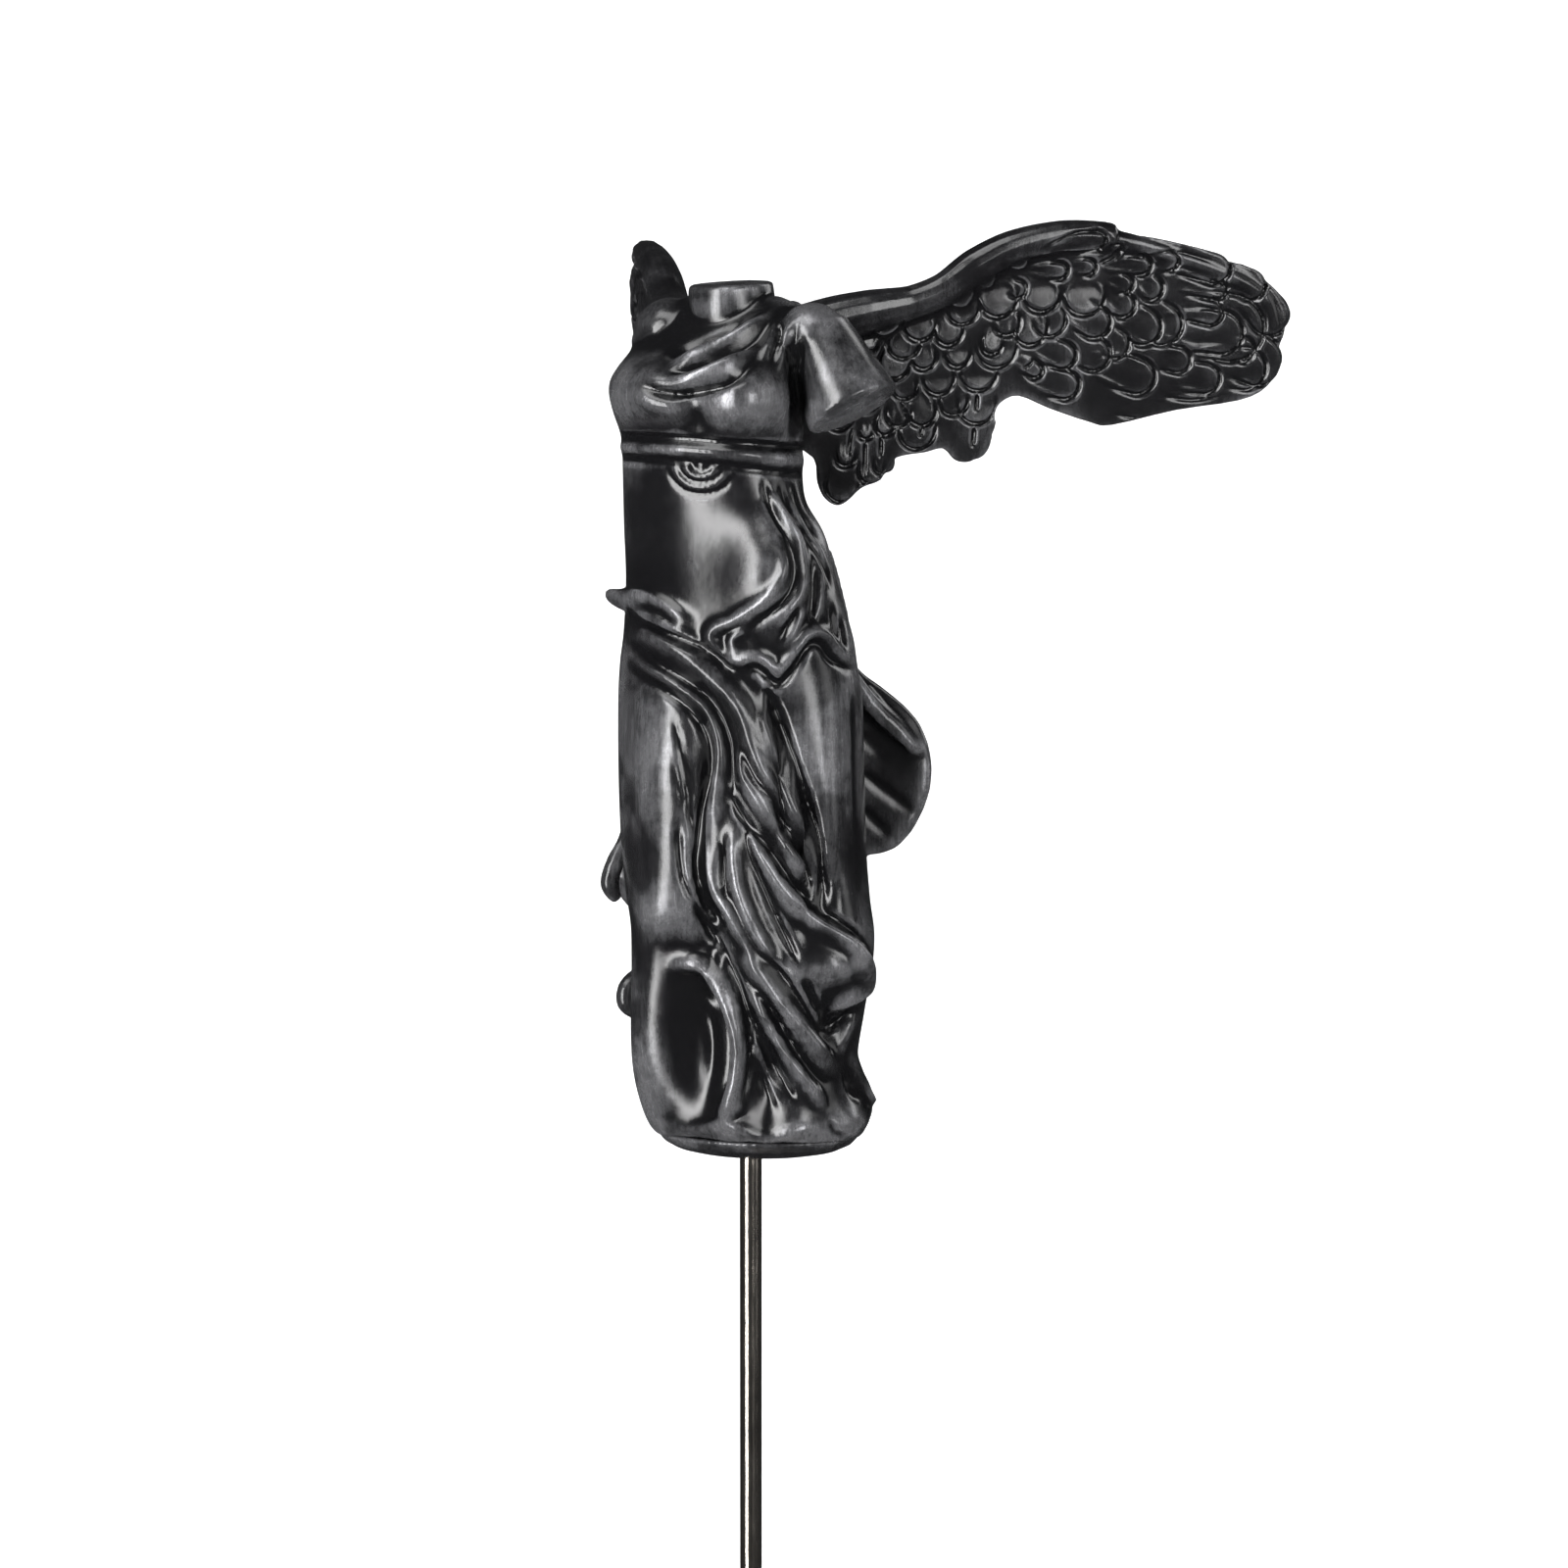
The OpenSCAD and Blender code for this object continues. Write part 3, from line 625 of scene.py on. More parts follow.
def ornament_strokes():
    """Half rings under the belt."""
    ridges = [(*RIDGE_STROKE, arc_points(ORNAMENT, r, -178, -2, ORNAMENT_ARC)) for r in ORNAMENT_RIDGES]
    grooves = [(*GROOVE_STROKE, arc_points(ORNAMENT, r, -176, -4, ORNAMENT_ARC)) for r in ORNAMENT_GROOVES]
    return tuple(ridges + grooves)


def body_core():
    """The torso and skirt before their folds: a wrapped grid on the sections, closed at both ends."""
    deselect()
    bpy.ops.mesh.primitive_grid_add(x_subdivisions=AROUND, y_subdivisions=UPWARDS, size=2)
    core = bpy.context.object
    flat = coords(core)
    turn = (flat[:, 0] + 1) * math.pi
    levels = np.array(SECTIONS)
    z = levels[0, 0] + (flat[:, 1] + 1) / 2 * (levels[-1, 0] - levels[0, 0])
    smooth = through(levels, 6)
    left, right, wide, deep, middle = (np.interp(z, smooth[:, 0], smooth[:, i]) for i in range(1, 6))
    across = (wide * np.cos(turn))[:, None] * LEFT + (deep * np.sin(turn))[:, None] * BACK
    reach = np.hypot(wide * LEFT[0], deep * BACK[0])
    x = left + (right - left) * (across[:, 0] + reach) / (2 * reach)
    set_coords(core, np.stack((x, across[:, 1] + middle, z), axis=1))
    bpy.ops.object.mode_set(mode="EDIT")
    bpy.ops.mesh.select_all(action="SELECT")
    bpy.ops.mesh.remove_doubles(threshold=0.01)
    bpy.ops.mesh.select_all(action="DESELECT")
    bpy.ops.mesh.select_non_manifold()
    bpy.ops.mesh.edge_face_add()
    bpy.ops.object.mode_set(mode="OBJECT")
    return core


def aligned(direction):
    """Turn that points a primitive's z axis along a direction."""
    return Vector(direction).to_track_quat("Z", "Y").to_euler()


def stump(start, end, start_r, end_r, sides=48):
    """A broken limb: a cone from inside the body to its flat break."""
    start, end = Vector(start), Vector(end)
    deselect()
    bpy.ops.mesh.primitive_cone_add(
        vertices=sides, radius1=start_r, radius2=end_r, depth=(end - start).length,
        location=(start + end) / 2, rotation=aligned(end - start))
    limb = bpy.context.object
    settle(limb)
    return limb


def ball(middle, radius):
    deselect()
    bpy.ops.mesh.primitive_uv_sphere_add(segments=32, ring_count=16, radius=radius, location=middle)
    lump = bpy.context.object
    settle(lump)
    return lump


def clay_roll(points, radii):
    """A tapered roll of clay laid through points in space."""
    path = bpy.data.curves.new("roll", "CURVE")
    path.dimensions = "3D"
    path.bevel_depth = 1.0
    path.bevel_resolution = 6
    path.use_fill_caps = True
    line = path.splines.new("POLY")
    smooth = through(points, 5)
    thick = np.interp(np.linspace(0, 1, len(smooth)), np.linspace(0, 1, len(radii)), radii)
    line.points.add(len(smooth) - 1)
    for point, place, radius in zip(line.points, smooth, thick):
        point.co = (*place, 1)
        point.radius = radius
    return curve_to_mesh(path)


def skin_y(x, z):
    """How far back the front of the body's core lies where it is seen at x and z."""
    levels = np.array(SECTIONS)
    left, right, wide, deep, middle = (np.interp(z, levels[:, 0], levels[:, i]) for i in range(1, 6))
    turn = np.linspace(-math.pi, math.pi, 721)
    across = wide * np.cos(turn)[:, None] * LEFT + deep * np.sin(turn)[:, None] * BACK
    reach = math.hypot(wide * LEFT[0], deep * BACK[0])
    share = np.clip((x - left) / (right - left) * 2 - 1, -1, 1)
    close = np.abs(across[:, 0] / reach - share) < 0.02
    return float(across[close, 1].min() + middle)


def laid_on(line, radii, sink=0.0):
    """A roll of clay that lies on the front of the body along a line as seen."""
    return clay_roll([(x, skin_y(x, z) + sink, z) for x, z in line], radii)


def body_clay():
    """Everything that is added to the core before the skin is melted together."""
    return [
        body_core(),
        # neck, with its break tilted towards the front and to the figure's right
        stump((-4.2, -3, 214), (-5.2, -5.4, 234.2), 13.0, 11.3),
        # left arm: shoulder, upper arm and break
        ball((16.5, -20, 218.6), 9.8),
        stump((17.0, -19.5, 220.5), (27.4, -24.5, 200.0), 9.4, 13.0),
        # right shoulder
        ball((-21.2, 3, 220.6), 10.3),
        clay_roll(((-15, 0, 208), (-19, 2, 215), (-21.5, 3, 221), (-14, 1, 223)), (11.5, 11.0, 10.4, 6.5)),
        # strap over the left shoulder
        clay_roll(((2, -20, 211), (5, -18.5, 219), (8, -14, 224.6), (12, -6, 226.4)), (1.6, 2.8, 3.4, 3.4)),
        # the cloak's flying tip at the right hip
        clay_roll(((-38.4, 1, 151.4), (-36, -2, 150.4), (-31, -8, 149.0)), (1.5, 2.5, 3.2)),
        laid_on(((-34, 149.4), (-29, 149.2), (-24, 146.6), (-18.5, 143), (-13, 139.4)),
                (2.6, 2.6, 2.4, 2.0, 1.4), 1.2),
        # foot of the skirt at the lower right
        clay_roll(((24, -8, 36), (26, -7, 26), (29.4, -6, 18), (33, -6, 13.8)), (3.4, 3.2, 3.2, 1.8)),
        clay_roll(((31.6, -6, 13.6), (28.6, -7, 10), (25, -9, 8.6)), (2.0, 3.2, 3.8)),
    ]


class TROPHY_OT_body(bpy.types.Operator):
    """Sculpt the draped body casting"""

    bl_idname = "trophy.body"
    bl_label = "Body casting"

    def execute(self, context):
        sculpt = context.scene.trophy_sculpt
        body = join(body_clay(), "draped_body")
        face_out(body)
        grain = working_grain(sculpt.body_grain)
        clay_to_casting(body, grain, 8)
        fold(body, grain, front=BODY_FOLDS + ornament_strokes(), front_mounds=BODY_MOUNDS,
             rear=REAR_FOLDS, rear_mounds=REAR_MOUNDS, gain=sculpt.fold_gain)
        finish_modifier(body, "SMOOTH", factor=0.45, iterations=4)
        thin_out(body, sculpt.triangle_limit)
        mark_raised(body, 5, 60)
        into_place(body, "figure_body", lacquer(context, "figure lacquer", 0.0))
        return {"FINISHED"}


# ---------------------------------------------------------------------------------------------
# The wings: sculpted once in the left wing's own frame (u along it, v through it, h up)
# ---------------------------------------------------------------------------------------------
LEFT_ROOT = (13.3, -8.7)
LEFT_TURN = math.radians(6)
RIGHT_ROOT = (-14.2, 11.3)
RIGHT_TURN = math.radians(98)
WING_LEAN = math.radians(10)
WING_HINGE = 215.0
SLAB = 1.7

# Outline as seen, from the shoulder over the wrist and the tip, back along the lower feathers
WING_OUTLINE = (
    (10, 226), (22.2, 231.4), (43.3, 234.2), (51.8, 237.6), (60, 244.5), (69.5, 249), (81.1, 251.4),
    (89.6, 251.6), (96.5, 250.8), (98.8, 248.7), (110.7, 245.5), (120, 242.4), (127.7, 239.5),
    (134.3, 236.8), (140.1, 231), (143.6, 223.3), (142.2, 217.8), (143.2, 214.1), (139.3, 207.2),
    (131.9, 203.5), (115, 200.9), (98, 196.9), (92.2, 197.7), (81.1, 201.4), (72.7, 204.8), (67.7, 203),
    (66.1, 199.8), (66.3, 196.4), (63.4, 190.6), (60, 187.1), (56, 187.4), (52.6, 190.6), (47.6, 189.5),
    (42, 188.7), (38.3, 187.1), (35.7, 182.1), (30.7, 180), (26.6, 176.2), (23.8, 175.2), (20.5, 177.5),
    (18.6, 182), (17.6, 188), (10, 196),
)

# Rounded leading edge: middle line as seen and its radius
WING_EDGE = (
    (12, 221, 7.5), (22, 224.6, 6.8), (32, 227, 6.2), (43, 229.3, 5.0), (51.8, 232.9, 4.9),
    (60, 238.9, 5.3), (69.5, 243.9, 5.0), (81, 246.9, 4.5), (90, 247.3, 4.3), (97, 246.6, 3.6),
)
WING_PINION = (
    (95, 246.4, 3.2), (103, 245, 2.7), (110.7, 242.8, 2.7), (120, 239.8, 2.6), (127.7, 236.8, 2.5),
    (134, 233.8, 2.4), (138.6, 229.6, 2.2), (141, 223, 2.0),
)
EDGE_DEPTH = 1.06

# Feathers: tip as seen, direction in degrees, length, width, sink below the top layer
FEATHERS = (
    (93.9, 246.5, 8, 18, 4.5, -1.3), (84.2, 238.1, 0, 10.5, 3.6, 0), (91.7, 239.1, 0, 6.5, 3.4, 0),
    (106.5, 239.5, 0, 13.5, 4.2, 0), (113.7, 240.9, 5, 7, 4.5, 0), (127.6, 237.7, -17, 30, 8.0, 0),
    (127.2, 232.5, -8, 18, 4, 0.2), (137.3, 233, -25, 16, 8, 0.5), (142.8, 222.5, -50, 22, 11, 0.7),
    (142.6, 212, -20, 20, 13, 0.7), (131.8, 220.8, -8, 24, 11, 0), (137.5, 221.6, -8, 27, 17, 0.7),
    (135.2, 216.6, -10, 10, 6, 0.2), (126.1, 209, -5, 18.5, 7.5, 0.3), (138.4, 211.5, -5, 14, 10.5, 0.3),
    (108.4, 208.6, -17, 20.5, 9, 0), (88.1, 206.9, -12, 15, 7, 0), (86.9, 214.5, -18, 12, 6.5, 0),
    (78, 210.7, -30, 9, 3.6, 0), (109.2, 220.8, -30, 13, 9, 0), (114.9, 221.7, -25, 14, 10.5, 0.6),
    (95.7, 222.5, -28, 15, 8, 0), (75.7, 218.7, -80, 10, 8.5, 0), (89.4, 226.7, -88, 9, 10.5, 0),
    (78.1, 227.6, -85, 8, 9.5, 0), (101.9, 234.3, -10, 6.5, 4, 0), (102.1, 227.6, -30, 7.5, 6, 0),
    (109.4, 231.8, -35, 7, 5.5, 0), (66.9, 226.3, -80, 9, 10, 0), (70.2, 221.7, -60, 7, 6.5, 0),
    (64.3, 216.2, -100, 7, 5, 0), (66.9, 212.8, -80, 9, 10, 0.3), (46.2, 220, -75, 8.5, 8, 0),
    (53.6, 218.7, -80, 8.5, 7, 0), (37.2, 209.8, -110, 13, 7.5, 0), (31, 217, -110, 5, 4, 0),
    (47.5, 212.4, -70, 9, 6, 0.2), (55.9, 212.8, -85, 6.5, 6, 0.2), (51.3, 205.5, -80, 8.5, 7.5, 0.3),
    (61.8, 206.5, -85, 7.5, 9, 0.3), (61.4, 197.6, -87, 10.5, 9.5, 0.3), (59, 187.6, -95, 13, 12, 0.9),
    (47.5, 197.2, -70, 10.5, 7, 0), (44.8, 190.9, -95, 14, 9, 0.7), (36.1, 194.5, -100, 8.5, 4.5, 0),
    (31.3, 193.4, -90, 4, 2.6, 0), (26, 186.1, -90, 7, 4.5, 0), (32.7, 181.2, -95, 14, 6, 0.3),
    (24.1, 176.6, -104, 14, 8, 0.5), (37, 184, -85, 9, 5.5, 0.8), (126, 226.4, -12, 26, 6, 0.7),
    (119, 205.6, -8, 22, 6, 0.9), (96, 214.6, -20, 13, 8.5, 0.6), (82, 221.6, -60, 9, 8, 0.6),
    (101, 217, -28, 10, 7, 0.6), (73, 232.6, -20, 9, 4, 0.6), (42, 204.4, -80, 9, 6, 0.6),
    (27, 209, -100, 9, 7, 0.6), (31, 201, -90, 9, 7, 0.6), (24, 196, -92, 9, 6, 0.5),
    (58, 224.6, -70, 8, 8, 0.5), (41, 215.2, -90, 9, 8, 0.6), (40, 197, -90, 8, 6, 0.7),
    (55, 200, -88, 9, 7, 0.7), (118, 213.8, -10, 18, 6, 0.5),
)

# Scalloped ends where the smooth leading edge breaks into feathers: as above, without the sink
EDGE_SCALLOPS = (
    (37.4, 221.6, -60, 8, 8), (47.5, 227.4, -50, 8, 7), (58.4, 230, -35, 8, 7), (64.6, 235, -25, 7, 5),
    (73.4, 240.6, -4, 8, 4.4), (27.6, 221, -70, 8, 8),
)

# Slits and vanes cut into the feathers: height, half width, points as seen
WING_CUTS = (
    (-1.5, 0.7, ((61.2, 206), (61, 200.2))),
    (-1.6, 0.7, ((60.6, 197), (60.4, 190.6))),
    (-1.5, 0.6, ((35.4, 195), (35.5, 187.6))),
    (-1.5, 0.6, ((31.2, 194.6), (31.1, 181.4))),
    (-1.4, 0.6, ((46.4, 196.6), (46.2, 193.4))),
    (-1.2, 0.6, ((27.6, 197), (26.6, 188))),
    (-1.1, 0.6, ((76.6, 214.6), (73.4, 211.6))),
    (-1.0, 0.6, ((39.4, 205), (41.4, 200.6), (42.6, 195.6))),
    (-0.9, 0.8, ((92, 243.4), (98.8, 244.8), (97, 240))),
    (-1.2, 0.7, ((100.4, 246), (96.4, 241.8), (92, 239.8))),
    (-0.9, 0.6, ((75.4, 243), (82, 246.4), (88, 248.4), (94.6, 247.6), (96.6, 244.8))),
    (-0.8, 0.6, ((26, 222), (25, 216), (27, 210))),
    (-0.9, 0.6, ((117.6, 200.6), (107, 198.6), (98, 199.8))),
    (-0.8, 0.6, ((127, 204.8), (119, 203.6), (111, 204.6))),
    (-0.6, 0.6, ((103.6, 241.6), (113, 243.2), (124, 240.2))),
    (-0.5, 0.5, ((118, 236), (124, 235.4), (128, 236.6))),
)
# Soft ridges along the vanes
WING_RIDGES = (
    (0.35, 0.8, ((66, 240), (75, 242.6), (84, 243))),
    (0.3, 0.7, ((110, 217), (120, 217.6), (128, 218))),
)


def on_wing(x, z):
    """A point of the left wing's near side as seen, in the wing's own length and height."""
    u, h = (x - LEFT_ROOT[0]) / math.cos(LEFT_TURN), z
    for _ in range(3):
        y = LEFT_ROOT[1] + u * math.sin(LEFT_TURN)
        depth = y * math.cos(CAMERA_RISE) - (h - AIM_Z) * math.sin(CAMERA_RISE)
        near = CAMERA_DISTANCE / (CAMERA_DISTANCE + depth)
        u = ((x - AIM_X) / near + AIM_X - LEFT_ROOT[0]) / math.cos(LEFT_TURN)
        h = ((z - AIM_Z) / near - y * math.sin(CAMERA_RISE)) / math.cos(CAMERA_RISE) + AIM_Z
    return u, h


def slab(outline, half_thickness):
    """A flat plate of clay from its outline, standing in the wing's frame."""
    shape = bpy.data.curves.new("slab", "CURVE")
    shape.dimensions = "2D"
    shape.fill_mode = "BOTH"
    shape.extrude = half_thickness
    line = shape.splines.new("POLY")
    line.points.add(len(outline) - 1)
    for point, (u, h) in zip(line.points, outline):
        point.co = (u, h, 0, 1)
    line.use_cyclic_u = True
    plate = curve_to_mesh(shape, (math.pi / 2, 0, 0))
    settle(plate)
    merge_doubles(plate)
    return plate


# A feather's tongue, the gap pressed round its tip, and the sink from which it gets no gap
TONGUE_SIDES = 32
TONGUE_DEPTH = 1.8
TRENCH = (-1.5, 0.75)
UNTRENCHED_SINK = 0.85
SCALLOP_HEIGHT = 1.1


def tip_length(length, width):
    """How much of a feather's length its rounded end takes."""
    return min(0.55 * width, 0.6 * length)


def tongue(length, width, rise, rim):
    """One feather: a rounded tongue with a raised rim, its tip at the origin and its root sunk."""
    deselect()
    bpy.ops.mesh.primitive_circle_add(vertices=TONGUE_SIDES, radius=1, fill_type="NGON")
    feather = bpy.context.object
    p = coords(feather)
    round_end = tip_length(length, width)
    square = np.sign(p[:, 1]) * np.abs(p[:, 1]) ** 0.72
    p[:, 1] = np.where(p[:, 0] < 0, square * (1 + 0.22 * p[:, 0]), square) * width / 2
    p[:, 0] = np.where(p[:, 0] < 0, p[:, 0] * (length - round_end), p[:, 0] * round_end) - round_end
    set_coords(feather, p)
    bpy.ops.object.mode_set(mode="EDIT")
    bpy.ops.mesh.select_all(action="SELECT")
    bpy.ops.mesh.extrude_region_move(TRANSFORM_OT_translate={"value": (0, 0, TONGUE_DEPTH)})
    bpy.ops.mesh.inset(thickness=min(rim, 0.22 * width), depth=-0.22)
    bpy.ops.mesh.inset(thickness=0.3 * width, depth=0.04)
    bpy.ops.object.mode_set(mode="OBJECT")
    p = coords(feather)
    p[:, 2] += rise * (p[:, 0] + length) / length - TONGUE_DEPTH
    set_coords(feather, p)
    return feather


def feather_at(x, z, degrees, length, width, height, sculpt):
    """A feather laid on the wing's near face with its tip where it is seen."""
    feather = tongue(length, width, sculpt.feather_rise, sculpt.feather_rim)
    u, h = on_wing(x, z)
    a = math.radians(degrees)
    feather.matrix_world = Matrix((
        (math.cos(a), -math.sin(a), 0, u), (0, 0, -1, -SLAB - height),
        (math.sin(a), math.cos(a), 0, h), (0, 0, 0, 1)))
    settle(feather)
    return feather


def trench_round(x, z, degrees, length, width):
    """The line of the deep gap round a feather's visible end, in the wing's own length and height."""
    u, h = on_wing(x, z)
    a = math.radians(degrees)
    round_end = tip_length(length, width)
    turn = np.radians(np.linspace(-90, 90, 13))
    along = np.cos(turn) * round_end - round_end + 0.45
    across = np.sin(turn) * (width / 2 + 0.35)
    back = 0.34 * length
    along = np.concatenate(([along[0] - back], along, [along[-1] - back]))
    across = np.concatenate((across[:1], across, across[-1:]))
    return list(zip(u + along * math.cos(a) - across * math.sin(a),
                    h + along * math.sin(a) + across * math.cos(a)))


def edge_roll(line):
    """A rounded edge along the wing, a little thicker through the wing than up it."""
    points = [(u, 0, h) for u, h in (on_wing(x, z) for x, z, radius in line)]
    roll = clay_roll(points, [radius for x, z, radius in line])
    p = coords(roll)
    p[:, 1] *= EDGE_DEPTH
    set_coords(roll, p)
    return roll


def mirrored(obj, axis):
    """A copy with its own mesh, mirrored across a plane through the origin and facing outwards."""
    copy = copied(obj, obj.name + "_mirrored")
    p = coords(copy)
    p[:, axis] *= -1
    set_coords(copy, p)
    copy.data.flip_normals()
    return copy


def wing_casting(sculpt):
    """The left wing in its own frame."""
    outline = [on_wing(x, z) for x, z in through(WING_OUTLINE + WING_OUTLINE[:1], 3)[:-1]]
    near = [feather_at(x, z, degrees, length, width, -sink, sculpt)
            for x, z, degrees, length, width, sink in FEATHERS]
    near += [feather_at(x, z, degrees, length, width, SCALLOP_HEIGHT, sculpt)
             for x, z, degrees, length, width in EDGE_SCALLOPS]
    near = join(near, "feathers")
    clay = [slab(outline, SLAB), edge_roll(WING_EDGE), edge_roll(WING_PINION), near, mirrored(near, 1)]
    wing = join(clay, "feathered_wing")
    face_out(wing)
    clay_to_casting(wing, working_grain(sculpt.wing_grain), 1)
    points = coords(wing)
    normals = normals_of(wing)
    cuts = [(height, half_width, [on_wing(x, z) for x, z in line])
            for height, half_width, line in WING_CUTS + WING_RIDGES]
    cuts += [(*TRENCH, trench_round(x, z, degrees, length, width))
             for x, z, degrees, length, width, sink in FEATHERS if sink < UNTRENCHED_SINK]
    flat = points[:, [0, 2]]
    lift = sum(press_strokes(flat, ramp(np.abs(normals[:, 1]), 0.2, 0.6), cuts))
    set_coords(wing, points + normals * lift[:, None])
    finish_modifier(wing, "SMOOTH", factor=0.3, iterations=1)
    thin_out(wing, sculpt.triangle_limit)
    mark_raised(wing, 4, 30)
    return wing


def turned_from(points, root, turn, side):
    """From a wing's own frame to drawn millimetres, with its upper edge leaning forward."""
    u, h = points[:, 0], points[:, 2]
    v = side * (points[:, 1] - (h - WING_HINGE) * math.tan(WING_LEAN))
    return np.stack((root[0] + u * math.cos(turn) - v * math.sin(turn),
                     root[1] + u * math.sin(turn) + v * math.cos(turn), h), axis=1)


class TROPHY_OT_wings(bpy.types.Operator):
    """Sculpt the left wing, and its mirrored fellow on the right"""

    bl_idname = "trophy.wings"
    bl_label = "Wings"

    def execute(self, context):
        left = wing_casting(context.scene.trophy_sculpt)
        right = copied(left, "feathered_wing_right")
        right.data.name = right.name
        set_coords(left, turned_from(coords(left), LEFT_ROOT, LEFT_TURN, 1))
        set_coords(right, turned_from(coords(right), RIGHT_ROOT, RIGHT_TURN, -1))
        right.data.flip_normals()
        finish = lacquer(context, "wing lacquer", 3.0, wear=0.7)
        into_place(left, "left_wing", finish)
        into_place(right, "right_wing", finish)
        return {"FINISHED"}


# ---------------------------------------------------------------------------------------------
# The cloak and the closing plate
# ---------------------------------------------------------------------------------------------
# Folds as seen from the display front (the flying end and the left edge), and from behind
CLOAK_FRONT = (
    (-1.1, 1.5, ((26, 122.6), (29.7, 119.4), (34.2, 114.3), (40, 109.8), (44.5, 107.6), (50, 106.4))),
    (-0.9, 1.3, ((28, 114.8), (31, 112), (34, 109.4), (37.6, 107))),
    (-1.1, 1.4, ((26, 106.4), (30.4, 102.8), (36.1, 98.3), (42.5, 93.8), (48, 90.6))),
    (-1.0, 1.3, ((27, 96.6), (31, 92.2), (35, 88.4), (40, 84.4))),
)
CLOAK_REAR = (
    (2.6, 3.2, ((28, 128), (16, 122), (2, 113), (-12, 102), (-26, 88), (-36, 76))),
    (-2.4, 2.0, ((28, 121), (16, 114), (2, 104), (-12, 93), (-26, 79), (-36, 68))),
    (2.4, 2.8, ((30, 114), (18, 107), (4, 97), (-10, 85), (-24, 70), (-33, 58))),
    (-2.2, 1.8, ((30, 107), (18, 99), (4, 89), (-10, 77), (-22, 63), (-30, 50))),
    (2.2, 2.6, ((30, 100), (18, 91), (6, 81), (-6, 70), (-17, 56), (-24, 42))),
    (-2.0, 1.7, ((30, 92), (18, 83), (7, 73), (-3, 62), (-12, 50), (-18, 36))),
    (2.2, 2.4, ((29, 84), (19, 75), (9, 65), (1, 54), (-6, 43), (-10, 33))),
    (-1.8, 1.6, ((29, 76), (20, 67), (12, 58), (5, 47), (0, 37))),
    (2.0, 2.2, ((28, 68), (20, 60), (13, 50), (9, 40))),
    (-2.0, 1.7, ((24, 138), (10, 131), (-4, 122), (-18, 110), (-30, 97), (-38, 86))),
    (2.4, 2.6, ((20, 146), (6, 139), (-8, 130), (-22, 118), (-32, 106))),
    (-1.8, 1.6, ((16, 153), (2, 146), (-12, 137), (-25, 125))),
    (2.0, 2.2, ((6, 158), (-6, 152), (-18, 143), (-28, 133))),
    (1.6, 1.3, ((26, 60), (18, 46), (8, 36), (-4, 31), (-16, 31), (-28, 37), (-35, 48))),
)
CLOAK_LOBES = (
    (((-33, 9, 88), (-36.6, 7, 79), (-38.4, 6, 72.4), (-36, 7, 67.6)), (1.4, 2.8, 3.0, 2.0)),
    (((-30, 8, 49), (-33.4, 5, 44.6), (-33.8, 4, 40), (-29.6, 6, 36)), (2.0, 3.0, 3.0, 2.0)),
    (((27, 4, 131), (33, 7, 121), (40, 8, 114), (45, 8, 108)), (1.6, 2.8, 2.8, 2.0)),
)
PLATE_GRAIN = 0.6


def clay_copy(node, name):
    """A copy of a CAD node with its own mesh, in drawn millimetres."""
    source = bpy.data.objects[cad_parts[node].name]
    copy = copied(source, name)
    points = np.array([source.matrix_world @ Vector(p) for p in coords(copy)])
    set_coords(copy, (points - np.array((0, 0, FOOT))) / UNIT)
    merge_doubles(copy)
    return copy


class TROPHY_OT_cloak(bpy.types.Operator):
    """Sculpt the cloak that is thrown round the figure's back"""

    bl_idname = "trophy.cloak"
    bl_label = "Cloak"

    def execute(self, context):
        sculpt = context.scene.trophy_sculpt
        lobes = [clay_roll(points, radii) for points, radii in CLOAK_LOBES]
        cloak = join([clay_copy("rear_cloak", "flying_cloak"), *lobes], "flying_cloak")
        face_out(cloak)
        grain = working_grain(sculpt.cloak_grain)
        clay_to_casting(cloak, grain, 24)
        fold(cloak, grain, front=CLOAK_FRONT, rear=CLOAK_REAR, gain=sculpt.fold_gain)
        finish_modifier(cloak, "SMOOTH", factor=0.4, iterations=2)
        thin_out(cloak, sculpt.triangle_limit)
        mark_raised(cloak, 4, 40)
        into_place(cloak, "rear_cloak", lacquer(context, "cloak lacquer", 6.0, wear=0.7))
        return {"FINISHED"}


class TROPHY_OT_plate(bpy.types.Operator):
    """Turn the faceted closing plate under the skirt into a smooth dome"""

    bl_idname = "trophy.plate"
    bl_label = "Closing plate"

    def execute(self, context):
        plate = clay_copy("closing_plate", "domed_plate")
        face_out(plate)
        clay_to_casting(plate, PLATE_GRAIN, 3)
        thin_out(plate, context.scene.trophy_sculpt.triangle_limit)
        mark_raised(plate, 4, 30)
        into_place(plate, "closing_plate", lacquer(context, "plate lacquer", 9.0))
        return {"FINISHED"}


